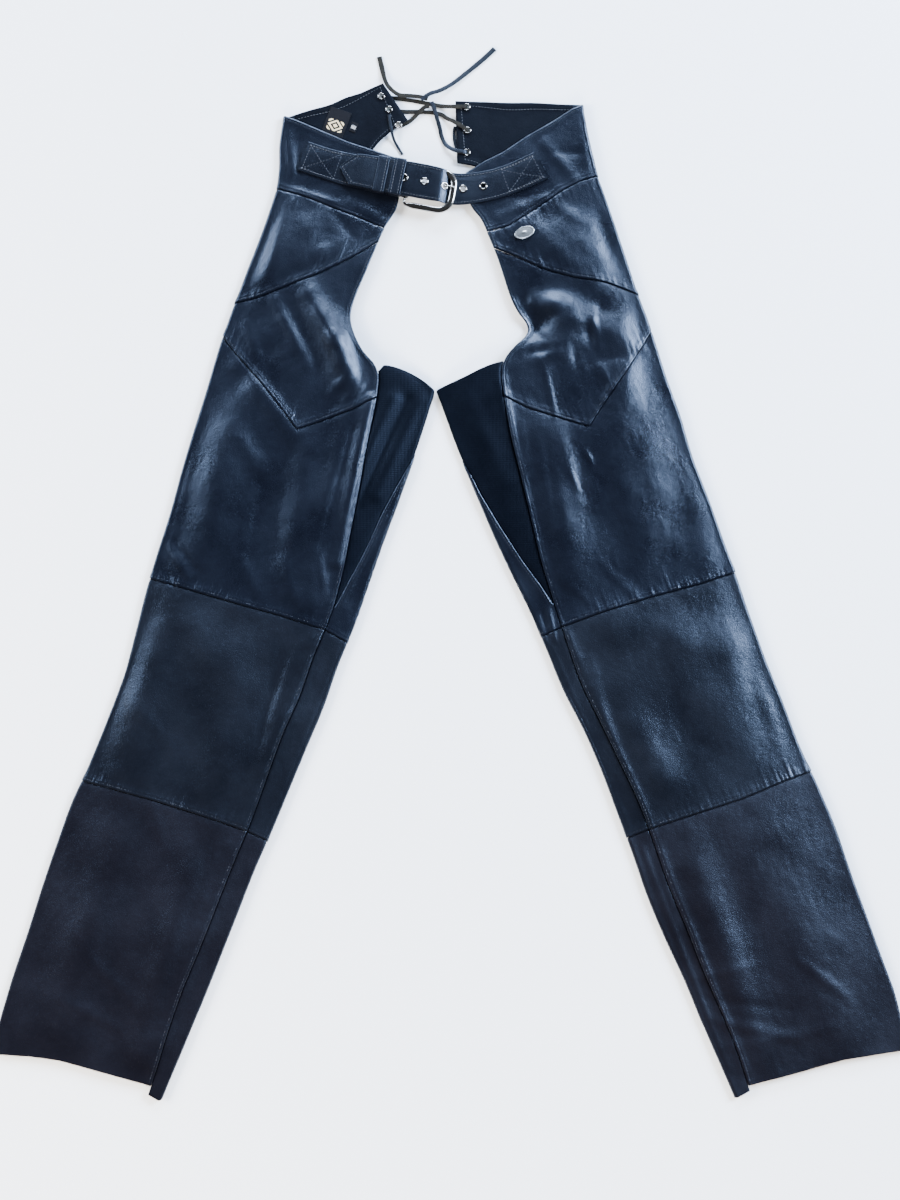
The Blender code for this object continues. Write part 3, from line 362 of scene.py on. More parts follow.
# Belt. Columns: x, y, height, width, heading in degrees.
LEFT_STRAP = [
    (-173, 525, 7.5, 37, -22),
    (-150, 517, 7.5, 37, -20),
    (-126, 510, 7.6, 39, -17),
    (-108, 506, 8.8, 40, -14),
    (-94, 503.3, 11.1, 41, -12),
    (-72, 499, 11.1, 41, -11),
    (-58, 496.3, 11.6, 41, -11),
]
BAR = (-49.0, 494.5, 9.7)
BAR_RADIUS = 1.5
BELT_HEADING = -11.0
WRAP_RADIUS = BAR_RADIUS + RESTING_GAP + BELT_WALL / 2
TURN_BACK = [(-56, 495.9, 7.6, 41, -11), (-66, 497.9, 7.6, 41, -11), (-96, 503.7, 7.6, 41, -12)]
RIGHT_STRAP = [
    (-128.5, 511.1, 10.5, 3, -16),
    (-124, 510, 10.9, 14.5, -16),
    (-119, 508.8, 11.4, 26, -15),
    (-113.6, 507.4, 12.0, 38, -15),
    (-110, 506.5, 12.5, 39, -14),
    (-100, 504.5, 13.4, 40, -12),
    (-80, 500.5, 13.4, 41, -11),
    (-66, 497.8, 13.9, 41, -11),
    (-49, 494.5, 15.3, 42, -11),
    (-30, 490.8, 15.6, 42, -10),
    (-15, 487.8, 15.5, 41, -9),
    (-9.5, 486.8, 14.6, 40, -8),
    (-5, 486, 11.4, 40, -7),
    (-1.5, 485.5, 8.4, 39, -6),
    (2, 485, 7.6, 39, -5),
    (15, 484.6, 7.5, 38, 0),
    (38, 487.5, 7.5, 37, 9),
    (60, 493, 7.5, 36, 17),
    (82, 501.5, 7.5, 36, 23),
    (107, 513.5, 7.5, 36, 27),
]
PIERCED_X = -7.0
EYELET_SPACING = 24.0
BELT_EYELET_STEPS = {"a": -2, "b": -1, "c": 0, "d": 1, "e": 2}

# Keepers. Columns: name, x and y of the middle, width along the strap, floor and roof height.
KEEPERS = [
    ("keeper_loose", -80.5, 500.6, 13, 9.35, 15.4),
    ("keeper_sewn", -61.5, 497, 14, 9.35, 18.2),
]
KEEPER_WALL = 1.0
KEEPER_INNER_WIDTH = 42.4
KEEPER_HEADING = -11.0

FRAME_LENGTH = 58.0
FRAME_HALF_WIDTH = 27.0
FRAME_SHIFT = -6.0
FRAME_CORNER = 15.0
FRAME_BAND = (7.6, 4.8)
FLOOR_GAP = 0.05
FRAME_FAR_HEIGHT = 11.8
PRONG_RADIUS = 1.2
PRONG_LOOP_RADIUS = BAR_RADIUS + RESTING_GAP + PRONG_RADIUS
# Prong after its loop. Columns: x, height.
PRONG_ROUTE = [
    (-42, 11.4), (-25, 9.4), (-13.5, 8.6), (-10.3, 9.3), (-8.3, 11.3), (-6.5, 13.7), (-4.4, 15.6),
    (-1.2, 16.2), (5.5, 15.7),
]

EYELET_RIM = 4.8
EYELET_HOLE = 2.9
EYELET_BARREL = 3.4
EYELET_PROUD = 0.8
PUNCHED_HOLE = 3.8

# Laced ends of the back yoke. Columns: name, down, across.
RIGHT_LACE_EYELETS = [("top", -149, 76), ("middle", -137, 90), ("bottom", -123, 107)]
LEFT_LACE_EYELETS = [("top", -135, 119), ("middle", -108, 128), ("bottom", -83, 138)]

# Lace. Columns: x, y, height, width.
LACE = {
    "lace_run_upper": [
        (19.8, 585.6, 3.2, 3.2), (19.4, 585.6, 5.2, 3.4), (17.2, 585.6, 6.5, 4), (11, 585.6, 6.6, 5),
        (2, 586, 5.4, 5), (-10, 588, 1.6, 5), (-24, 591, 0.9, 5), (-45, 595, 0.9, 5),
        (-64, 598, 0.9, 5), (-77, 599, 0.9, 4), (-81.2, 598.8, 1.2, 3.4),
    ],
    "lace_run_middle": [
        (20.6, 557.1, 3.2, 3.2), (20.3, 557.3, 5.2, 3.4), (18.2, 558.8, 6.5, 4), (12, 563, 6.7, 5),
        (4, 568, 5.4, 5), (-3.5, 573, 1.6, 5), (-12, 578.5, 0.9, 5), (-30, 581, 0.9, 5),
        (-54, 581.5, 0.9, 5), (-67, 582.5, 0.9, 4), (-72, 582.7, 1.2, 3.4),
    ],
    "lace_run_lower": [
        (19.7, 530.2, 3.2, 3.2), (19.3, 530.2, 5.2, 3.4), (17.2, 530.3, 6.5, 4), (11, 531, 6.6, 5),
        (3, 534, 5.0, 5), (-5, 541, 1.6, 5), (-9.5, 550, 1.0, 5), (-12.5, 563, 1.6, 5),
        (-15.5, 573, 2.7, 5), (-18.5, 584, 3.2, 5), (-22, 592.5, 3.4, 5),
    ],
    "lace_crossing": [
        (-59, 563, 0.9, 3.6), (-54, 566, 0.9, 5), (-46, 571, 1.2, 5), (-38, 578.5, 2.8, 5),
        (-31, 585, 4.3, 5), (-24.5, 586.8, 4.9, 4.6),
    ],
    "lace_side": [
        (6.2, 563, 0.9, 4), (4.8, 556, 0.9, 4), (5.4, 546, 0.9, 4), (7.6, 537, 0.9, 4),
    ],
    "lace_tail_right": [
        (-84, 649, 0.9, 6), (-81, 636, 1.0, 6), (-76.5, 618, 3.4, 5), (-70, 607.5, 5.2, 5),
        (-60, 600.5, 5.2, 5), (-48, 600, 3.6, 5), (-36, 599, 3.0, 5), (-26.5, 596, 3.2, 4.6),
    ],
    "lace_tail_left": [
        (53, 659, 0.9, 6), (40, 646.5, 0.9, 6), (22, 631, 1.2, 5.4), (3, 615.5, 2.2, 5),
        (-12, 606.5, 3.8, 5), (-24, 602, 4.9, 5), (-34, 594.5, 4.9, 4.6),
    ],
    "lace_tail_lower": [
        (-72, 576, 5.4, 3.6), (-70.8, 567, 5.4, 3.4), (-69.4, 559, 5.4, 3.4), (-67.8, 551, 4.6, 3.4),
        (-65, 544, 1.8, 3.2), (-61, 537, 0.9, 3.2), (-56, 529, 0.9, 3),
    ],
}

BADGE = {"down": 33, "across": 108.5, "half_length": 12.2, "half_width": 7.3, "dome": 1.0}
LABEL = {"down": (-118, -78), "across": (24, 50)}
SIZE_TAG = {"down": (-109, -97), "across": (54, 62)}
LABEL_THICK = 0.6

# How finely the leather is drawn.
STEP_ACROSS = 1.45
STEP_DOWN = 4.0
STEP_UNDER = 14.0
NEAR_EDGE = [0, 0.3, 0.8, 1.5, 2.4, 3.4, 4.6, 6.2, 8.2, 10.8, 14.0, 18.0]

# Seams across the leg, from the waist down, and the last station that each one reaches.
CROSS_SEAMS = [("waist", 3), ("thigh", 3), ("chevron", 3), ("knee", 6), ("shin", 6)]
LAP_RISE = 0.75
STITCH_INSET = 3.2
PUCKER_SPACING = 4.9
PUCKER_HEIGHT = 1.7
STITCH_SPACING = 3.6
STITCH_LENGTH = 2.7
STITCH_RADIUS = 0.3


def curved(rows, x, column):
    """Values of a table's column at x, on a smooth curve through its rows."""
    table = np.array(rows, float)
    at, value = table[:, 0], table[:, column]
    x = np.clip(x, at[0], at[-1])
    i = np.clip(np.searchsorted(at, x, side="left") - 1, 0, len(at) - 2)
    before, after = np.maximum(i - 1, 0), np.minimum(i + 2, len(at) - 1)
    span = at[i + 1] - at[i]
    slope_a = (value[i + 1] - value[before]) / (at[i + 1] - at[before])
    slope_b = (value[after] - value[i]) / (at[after] - at[i])
    t = (x - at[i]) / span
    return (
        (2 * t**3 - 3 * t**2 + 1) * value[i]
        + (t**3 - 2 * t**2 + t) * span * slope_a
        + (3 * t**2 - 2 * t**3) * value[i + 1]
        + (t**3 - t**2) * span * slope_b
    )


def straight(rows, x, column=1):
    """Values of a table's column at x, straight between its rows."""
    table = np.array(rows, float)
    return np.interp(x, table[:, 0], table[:, column])


def blend(x, start, end):
    """0 before start, 1 after end, smooth between."""
    t = np.clip((np.asarray(x, float) - start) / (end - start), 0, 1)
    return t * t * (3 - 2 * t)


def swell(distance, reach):
    distance = np.maximum(distance, 0)
    return distance**2 / (distance**2 + reach**2)


def soft_noise(x, y, size, seed):
    """Smooth random heights from -1 to 1, with bumps of about one size."""
    field = np.random.default_rng(seed).uniform(-1, 1, (64, 64))
    u, v = x / size, y / size
    i, j = np.floor(u).astype(int), np.floor(v).astype(int)
    fu, fv = u - i, v - j
    fu, fv = fu * fu * (3 - 2 * fu), fv * fv * (3 - 2 * fv)
    i0, i1, j0, j1 = i % 64, (i + 1) % 64, j % 64, (j + 1) % 64
    low = field[i0, j0] * (1 - fu) + field[i1, j0] * fu
    high = field[i0, j1] * (1 - fu) + field[i1, j1] * fu
    return low * (1 - fv) + high * fv


def lapped(t):
    """Turned edge that lies on the next panel: a soft roll, its stitch groove and a rounded end."""
    roll = LAP_RISE * np.exp(-(((t - 2.6) / 4.2) ** 2))
    groove = -0.4 * np.exp(-(((t - STITCH_INSET) / 0.8) ** 2))
    tip = -0.9 * np.clip(1 - t / 1.5, 0, 1) ** 2
    return np.where(t >= 0, roll + groove + tip, 0)


def tucked(t):
    """Edge that goes in under a lapped one."""
    return np.where(t >= 0, -0.9 * np.exp(-t / 2.6), 0)


def puckers(along, t, seed):
    """Short ridges square to a seam where the stitching draws the leather in."""
    chance = np.random.default_rng(seed)
    count = 97
    shift, reach = chance.uniform(-0.3, 0.3, count), chance.uniform(4, 17, count)
    lift = chance.uniform(0.25, 1, count)
    base = np.floor(along / PUCKER_SPACING).astype(int)
    total = np.zeros_like(along)
    for k in (0, 1):
        index = (base + k) % count
        centre = (base + k + shift[index]) * PUCKER_SPACING
        total += lift[index] * np.exp(-(((along - centre) / 1.45) ** 2)) * np.exp(-((t / reach[index]) ** 2))
    strength = 0.65 + 0.35 * soft_noise(along, along * 0, 37, seed + 1)
    return np.where(t >= 0, PUCKER_HEIGHT * strength * total * (1 - np.exp(-((t / 1.2) ** 2))), 0)


def ridge_field(rows, down, across):
    """Sum of soft ridges and troughs. Columns: from down, across, to down, across, half width, height."""
    total = np.zeros_like(down)
    for d0, a0, d1, a1, width, size in rows:
        run = np.array([d1 - d0, a1 - a0], float)
        off_d, off_a = down - d0, across - a0
        share = np.clip((off_d * run[0] + off_a * run[1]) / (run @ run), 0, 1)
        distance = np.hypot(off_d - run[0] * share, off_a - run[1] * share)
        total += size * np.exp(-((distance / width) ** 2)) * (1 - 0.25 * np.cos(6 * share))
    return total


class Leg:
    """One leg with its half of the yoke, as a flattened tube."""

    def __init__(self, name, table):
        self.name = name
        self.seed = 11 if name == "right" else 57
        self.side = table["side"]
        self.corner = np.array([table["corner"][0] - ORIGIN[0], table["corner"][1] - ORIGIN[1], 0])
        self.sections = table["sections"]
        self.seams = table["seams"]
        self.folds = table["folds"]
        self.creases = table["creases"]
        self.gusset_folds = table["gusset_folds"]
        self.back_yoke = table["back_yoke"]
        self.seat_edge = table["seat_edge"]
        self.gusset = table["gusset"]
        self.gusset_top = table["gusset_top"]
        sine, cosine = math.sin(LEG_SPREAD), math.cos(LEG_SPREAD)
        self.down_axis = np.array([self.side * sine, -cosine, 0])
        self.across_axis = np.array([-self.side * cosine, -sine, 0])

    def place(self, down, across, height):
        down, across, height = np.broadcast_arrays(
            np.asarray(down, float), np.asarray(across, float), np.asarray(height, float)
        )
        spot = self.corner + down[..., None] * self.down_axis + across[..., None] * self.across_axis
        spot[..., 2] += height
        return spot

    def outer(self, down):
        return curved(self.sections, down, 1) + HALF + FOLD_RADIUS

    def edge(self, down):
        return curved(self.sections, down, 2)

    def inner(self, down):
        return curved(self.sections, down, 3) - HALF - FOLD_RADIUS

    def side_line(self, down):
        return curved(self.sections, down, 1) + SIDE_WRAP

    def height(self, down, across):
        """Middle of the upper layer above the floor."""
        open_edge = self.edge(down) + 12
        closed = blend(down, CROTCH - 40, CROTCH + 25)
        limit = open_edge + (self.inner(down) - open_edge) * closed
        from_outer = across - self.outer(down)
        from_inner = limit - across
        rise = curved(self.sections, down, 4) * swell(from_outer, SWELL_REACH) * swell(from_inner, SWELL_REACH)
        fade = swell(from_outer, FOLD_FADE) * swell(from_inner, FOLD_FADE)
        rise = rise + fade * ridge_field(self.folds, down, across)
        return EDGE_HEIGHT + np.maximum(rise, -1.2)

    def across(self, down, station):
        outer, inner, edge, side = self.outer(down), self.inner(down), self.edge(down), self.side_line(down)
        return np.select(
            [station <= 1, station <= 2, station <= 3, station <= 4, station <= 5],
            [
                edge + (outer - edge) * station,
                outer - FOLD_RADIUS * np.sin(np.pi * (station - 1)),
                outer + (side - outer) * (station - 2),
                side + (inner - side) * (station - 3),
                inner + FOLD_RADIUS * np.sin(np.pi * (station - 4)),
            ],
            inner + (edge - inner) * (station - 5),
        )

    def point(self, down, station):
        """Middle of the smooth wall at a station of the tube."""
        across = self.across(down, station)
        middle = HALF + FOLD_RADIUS
        top = self.height(down, across)
        height = np.select(
            [station <= 1, station <= 2, station <= 4, station <= 5],
            [
                top,
                middle + FOLD_RADIUS * np.cos(np.pi * (station - 1)),
                HALF + 0 * down,
                middle - FOLD_RADIUS * np.cos(np.pi * (station - 4)),
            ],
            top,
        )
        return self.place(down, across, height)

    def normal(self, down, station):
        """Direction out of the smooth wall."""
        low, high = np.maximum(station - 0.01, 0), np.minimum(station + 0.01, 6)
        round_it = self.point(down, high) - self.point(down, low)
        down_it = self.point(down + 1, station) - self.point(down - 1, station)
        out = np.cross(round_it, down_it) * -self.side
        out /= np.linalg.norm(out, axis=-1, keepdims=True)
        flat = (station > 2) & (station < 4)
        out[flat] = (0, 0, -1)
        return out

    def round_distance(self, down, station):
        """Distance round the inner side from the inner seam towards the back."""
        strip = self.inner(down) - self.edge(down)
        fold = math.pi * FOLD_RADIUS
        under = self.inner(down) - self.side_line(down)
        return np.select(
            [station >= 5, station >= 4],
            [(6 - station) * strip, strip + fold * (5 - station)],
            strip + fold + under * (4 - station),
        )

    def around(self, down, distance):
        """Station that lies a distance round from the inner seam towards the back."""
        strip = self.inner(down) - self.edge(down)
        fold = math.pi * FOLD_RADIUS
        under = self.inner(down) - self.side_line(down)
        return np.select(
            [distance <= strip, distance <= strip + fold],
            [6 - distance / strip, 5 - (distance - strip) / fold],
            4 - (distance - strip - fold) / under,
        )

    def slant(self, name, down, station):
        """Cosine of a seam's slant to the leg's own cross line, on the front."""
        step = 0.02
        rise = straight(self.seams[name], station + step) - straight(self.seams[name], station - step)
        run = 2 * step * (self.edge(down) - self.outer(down))
        return np.where(station < 1, 1 / np.sqrt(1 + (rise / run) ** 2), 1)

    def relief(self, cut, down, station):
        """How far seams, puckers and creases stand out of the smooth tube."""
        across = self.across(down, station)
        on_top = np.select(
            [station <= 1, station < 2, station <= 4, station < 5],
            [1 + 0 * down, 1 - blend(station, 1, 2), 0 * down, blend(station, 4, 5)],
            1,
        )
        seamed = np.zeros_like(down)
        for i, (name, last) in enumerate(CROSS_SEAMS):
            if cut in ("gusset",) or (cut == "yoke" and name != "waist"):
                continue
            cosine = self.slant(name, down, station)
            t = (straight(self.seams[name], station) - down) * cosine
            here = (lapped(t) + tucked(-t)) * (station <= last)
            gathered = puckers(across, -t if name == "waist" else t, self.seed + 3 * i)
            seamed += here + gathered * (station <= min(last, 1.7))
        if cut in ("front", "yoke"):
            t = np.where(station <= 1, np.abs(self.edge(down) - across), 99)
            seamed += lapped(t)
            if cut == "front":
                seamed += 0.45 * puckers(down, t, self.seed + 31) * (down > CROTCH + 30)
        else:
            t = np.where(station >= 5, np.abs(across - self.edge(down)), 99)
            seamed += tucked(t)
        if cut in ("back", "gusset"):
            first, end = self.gusset[0][0], self.gusset[-1][0]
            t = self.round_distance(down, station) - straight(self.gusset, down)
            inside = blend(down, first - 14, first + 6) * (down <= end)
            seamed += inside * (lapped(t) if cut == "back" else tucked(-t))
        if cut == "yoke":
            t = down - straight(self.seams["top_edge"], station)
            seamed += lapped(t)
        seamed = np.where(on_top > 0, seamed * (0.25 + 0.75 * on_top), np.minimum(seamed, 0) * 0.5)
        if cut == "gusset":
            waves = 0.35 * soft_noise(down, across, 40, self.seed + 40)
            return seamed + on_top * (waves + ridge_field(self.gusset_folds, down, across))
        fade = swell(np.abs(across - self.outer(down)), 6) * swell(np.abs(self.inner(down) - across), 5)
        waves = 0.9 * soft_noise(down, across * 1.3, 58, self.seed + 41)
        waves += 0.35 * soft_noise(down + 0.4 * across, across, 21, self.seed + 42)
        waves += 0.1 * soft_noise(down, across * 1.6, 8, self.seed + 43)
        waves += ridge_field(self.creases, down, across)
        shape = seamed + on_top * waves * np.where((station <= 1) | (station >= 5), fade, 0.25)
        if cut == "back":
            pressed = waves - ridge_field(self.creases, down, across) + ridge_field(self.creases, down - 40, across)
            clear = fade * np.clip((station - 3.1) / 0.3, 0, 1)
            shape += (1 - on_top) * clear * np.clip(0.5 * pressed, -0.7, 0)
        return shape

    def skin(self, cut, down, station, lift=0.0):
        """Point on the finished leather, lifted off its outside."""
        out = self.normal(down, station)
        rise = self.relief(cut, down, station) + HALF + lift
        return self.point(down, station) + out * rise[..., None]


# ---------- meshes

def place_object(name, mesh):
    obj = bpy.data.objects.new(name, mesh)
    bpy.context.collection.objects.link(obj)
    return obj


def mesh_object(name, verts, faces, finishes, slots=None, sharp=50):
    """Object from millimetre points; slots gives each face's material."""
    mesh = bpy.data.meshes.new(name)
    mesh.from_pydata((np.asarray(verts) * MM).tolist(), [], np.asarray(faces).tolist())
    for finish in finishes:
        mesh.materials.append(finish)
    if slots is not None:
        mesh.polygons.foreach_set("material_index", np.asarray(slots, np.int32))
    mesh.shade_smooth()
    if sharp:
        mesh.set_sharp_from_angle(angle=math.radians(sharp))
    mesh.update()
    return place_object(name, mesh)


def grid_normals(middle, out):
    """Normals of a grid of points, on the same side as the rough ones."""
    along, down = np.gradient(middle, axis=1), np.gradient(middle, axis=0)
    fine = np.cross(along, down)
    size = np.linalg.norm(fine, axis=-1, keepdims=True)
    fine = np.where(size > 1e-9, fine / np.maximum(size, 1e-9), out)
    return np.where(np.sum(fine * out, axis=-1, keepdims=True) < 0, -fine, fine)


def edge_round(middle, half, keep):
    """Share of the wall's thickness near its cut edges, rounded except where kept square."""
    share = np.ones(middle.shape[:2])
    for axis in (0, 1):
        steps = np.linalg.norm(np.diff(middle, axis=axis), axis=-1)
        zero = np.zeros_like(share.take([0], axis=axis))
        far = np.concatenate([zero, np.cumsum(steps, axis=axis)], axis=axis)
        total = far.take([-1], axis=axis)
        for end, distance in (("start", far), ("end", total - far)):
            if (axis, end) in keep:
                continue
            fall = np.clip(1 - distance / half, 0, 1)
            share = np.minimum(share, np.sqrt(np.maximum(1 - fall**2, 0.1)))
    return share


def leather_wall(name, middle, out, finishes, half=HALF, keep=(), inner_gain=None, raw_rim=None, painted_shade_from=None):
    """Closed thin wall on both sides of a grid of points."""
    rows, cols = middle.shape[:2]
    normal = grid_normals(middle, out)
    share = edge_round(middle, half, keep)[..., None]
    gain = 0 if inner_gain is None else inner_gain[..., None]
    outer = middle + normal * half * share
    inner = middle - normal * (half + gain) * share
    verts = np.concatenate([outer.reshape(-1, 3), inner.reshape(-1, 3)])
    verts[:, 2] = np.maximum(verts[:, 2], FLOOR_GAP)
    count = rows * cols
    index = np.arange(count).reshape(rows, cols)
    a, b, d, e = index[:-1, :-1], index[:-1, 1:], index[1:, :-1], index[1:, 1:]
    front = np.stack([a, b, e, d], axis=-1).reshape(-1, 4)
    back = np.stack([d, e, b, a], axis=-1).reshape(-1, 4) + count
    rims = []
    for line, turned in ((index[0], True), (index[-1], False), (index[:, 0], False), (index[:, -1], True)):
        p, q = line[:-1], line[1:]
        quad = np.stack([p, q, q + count, p + count], axis=-1)
        rims.append(quad[:, ::-1] if not turned else quad)
    facing = np.cross(verts[b[0, 0]] - verts[a[0, 0]], verts[e[0, 0]] - verts[a[0, 0]]) @ normal[0, 0]
    faces = [front, back] + [rim[:, ::-1] for rim in rims]
    if facing < 0:
        faces = [f[:, ::-1] for f in faces]
    slots = [np.zeros(len(f), int) for f in faces]
    if raw_rim is not None:
        slots[2 + raw_rim][:] = 1
    if painted_shade_from is not None:
        # Back-side faces from this column on take the second finish, a painted-shade copy of the leather.
        slots[1].reshape(rows - 1, cols - 1)[:, painted_shade_from:] = 1
    return mesh_object(name, verts, np.concatenate(faces), finishes, np.concatenate(slots))


def spread(length, step, fine_start=True, fine_end=True):
    """Distances along a stretch, close together near its ends. length may be an array."""
    length = np.atleast_1d(np.asarray(length, float))
    near = np.array(NEAR_EDGE)
    scale = np.minimum(1, 0.42 * length / near[-1])[:, None]
    head = near * scale if fine_start else np.zeros((len(length), 1))
    tail = length[:, None] - (near * scale)[:, ::-1] if fine_end else length[:, None]
    count = max(int(np.ceil((length.max() - 2 * near[-1]) / step)), 1)
    share = np.arange(1, count) / count
    body = head[:, -1:] + (tail[:, :1] - head[:, -1:]) * share
    return np.concatenate([head, body, tail], axis=1)


def lay(obj, node):
    """Attach a panel to the root body and hide the node it stands for."""
    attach(obj, "root")
    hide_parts(node)
    return obj


# ---------- leather panels

def front_stations(leg, down):
    """Stations of a front panel: fine on top, then round the fold and under to the side seam."""
    width = float(leg.edge(np.array([down]))[0] - leg.outer(np.array([down]))[0])
    top = spread(width, STEP_ACROSS, True, False)[0] / width
    top[0] = SEAM_GAP / 2 / 200
    fold = np.linspace(1, 2, 11)[1:]
    under = 2 + np.array([0.12, 0.35, 0.6, 0.8, 0.9, 0.95, 0.98])
    return np.concatenate([top, fold, under, [3 - SEAM_GAP / 2 / 40]])


def panel_grid(leg, upper, lower, stations):
    start = straight(leg.seams[upper], stations) + HALF_GAPS.get(upper, SEAM_GAP / 2)
    end = straight(leg.seams[lower], stations) - HALF_GAPS.get(lower, SEAM_GAP / 2)
    down = start[:, None] + spread(end - start, STEP_DOWN)
    return down.T, np.broadcast_to(stations, down.T.shape)


def formed(leg, cut, down, station):
    out = leg.normal(down, station)
    return leg.point(down, station) + out * leg.relief(cut, down, station)[..., None], out


def front_panels(leg):
    upper_under = f"thigh_back_{leg.name}"
    for name, upper, lower, middle_down, finish, under in (
        ("thigh_upper", "waist", "thigh", 80, UPPER_LEATHER, upper_under),
        ("thigh_chevron", "thigh", "chevron", 180, UPPER_LEATHER, upper_under),
        ("thigh_lower", "chevron", "knee", 350, UPPER_LEATHER, upper_under),
        ("knee_front", "knee", "shin", 600, KNEE_LEATHER, f"knee_back_{leg.name}"),
        ("shin_front", "shin", "hem", 880, SHIN_LEATHER, f"shin_back_{leg.name}"),
    ):
        stations = front_stations(leg, middle_down)
        down, station = panel_grid(leg, upper, lower, stations)
        middle, out = formed(leg, "front", down, station)
        hem = lower == "hem"
        obj = leather_wall(
            f"{name}_panel_{leg.name}", middle, out, [finish, RAW_EDGE],
            keep=[(0, "end")] if hem else (), raw_rim=1 if hem else None,
        )
        lay(obj, f"{name}_{leg.name}")


def back_stations(last):
    """Shares of the way from the side seam to the last station, finer on top."""
    start = 3 + SEAM_GAP / 2 / 200
    under = np.linspace(start, 4, 22)[:-1]
    return np.concatenate([under, np.linspace(4, 5, 13)[:-1], 5 + (last - 5) * np.linspace(0, 1, 27) ** 0.9])


def thigh_back(leg):
    half_gap = SEAM_GAP / 2
    first, end = leg.gusset[0][0], leg.gusset[-1][0]
    knee = float(straight(leg.seams["knee"], 6))
    waist = float(straight(leg.seams["waist"], 3))
    downs = waist + half_gap + spread(knee - waist - 2 * half_gap, STEP_DOWN)[0]
    downs = np.unique(np.concatenate([downs, np.linspace(first - 14, first + 60, 30)]))
    rows_down, rows_station = [], []
    for i, down in enumerate(downs):
        at = np.array([down])
        if down < first:
            side_line = float(leg.side_line(at)[0])
            reach = float(curved(leg.seat_edge, at, 1)[0]) - side_line
            last = 3 + reach / (float(leg.inner(at)[0]) - side_line)
            last = min(last, 3.98)
        elif down <= end:
            last = float(leg.around(at, straight(leg.gusset, at) + half_gap)[0])
        else:
            last = 6 - half_gap / 30
        ends = leg.round_distance(at, np.array([3 + half_gap / 200, last]))
        share = 1 - (1 - np.linspace(0, 1, 72)) ** 1.6
        stations = leg.around(at, ends[0] + (ends[1] - ends[0]) * share)
        line = np.full(72, down)
        foot = blend(down, knee - 40, knee - half_gap)
        line = line + foot * (straight(leg.seams["knee"], stations) - knee)
        rows_down.append(line)
        rows_station.append(stations)
    down, station = np.array(rows_down), np.array(rows_station)
    middle, out = formed(leg, "back", down, station)
    obj = leather_wall(f"thigh_back_panel_{leg.name}", middle, out, [UPPER_LEATHER])
    lay(obj, f"thigh_back_{leg.name}")


def lower_backs(leg):
    stations = back_stations(6 - SEAM_GAP / 2 / 25)
    for name, upper, lower, finish in (
        ("knee_back", "knee", "shin", KNEE_LEATHER),
        ("shin_back", "shin", "back_hem", SHIN_LEATHER),
    ):
        down, station = panel_grid(leg, upper, lower, stations)
        middle, out = formed(leg, "back", down, station)
        hem = lower == "back_hem"
        obj = leather_wall(
            f"{name}_panel_{leg.name}", middle, out, [finish, RAW_EDGE],
            keep=[(0, "end")] if hem else (), raw_rim=1 if hem else None,
        )
        lay(obj, f"{name}_{leg.name}")


def gusset(leg):
    half_gap = SEAM_GAP / 2
    first, end = leg.gusset[0][0], leg.gusset[-1][0]
    shares = spread(end - first, STEP_DOWN * 0.8)[0] / (end - first)
    rows_down, rows_station = [], []
    for share in shares:
        down = first + (end - first) * share
        at = np.array([down])
        last = float(leg.around(at, straight(leg.gusset, at) - half_gap)[0])
        start = 6 - half_gap / 16
        ends = leg.round_distance(at, np.array([start, last]))
        gone = np.linspace(ends[0], ends[1], 66)
        stations = leg.around(at, gone)
        top = curved(leg.gusset_top, gone / gone[-1], 1)
        line = top + (end - top) * share
        line[-1] = down
        rows_down.append(line)
        rows_station.append(stations)
    down, station = np.array(rows_down), np.array(rows_station)
    middle, out = formed(leg, "gusset", down, station)
    obj = leather_wall(f"gusset_panel_{leg.name}", middle, out, [STRETCH_CLOTH], half=0.7)
    lay(obj, f"gusset_{leg.name}")


def back_yoke_edges(leg, part):
    """Down and across of the back yoke's two edges, a share of the way to its laced end."""
    top, low = float(straight(leg.seams["top_edge"], 2)), float(straight(leg.seams["waist"], 2))
    first = (0, top, float(leg.outer(np.array([top]))[0]), low, float(leg.outer(np.array([low]))[0]))
    table = [first] + leg.back_yoke
    return [curved(table, part, k) for k in (1, 2, 3, 4)]


def back_yoke_point(leg, part, share):
    top_down, top_across, low_down, low_across = back_yoke_edges(leg, part)
    lift = YOKE_END_LIFT * blend(part, YOKE_LIFT_FROM, 1)
    return leg.place(top_down + (low_down - top_down) * share, top_across + (low_across - top_across) * share, HALF + lift)


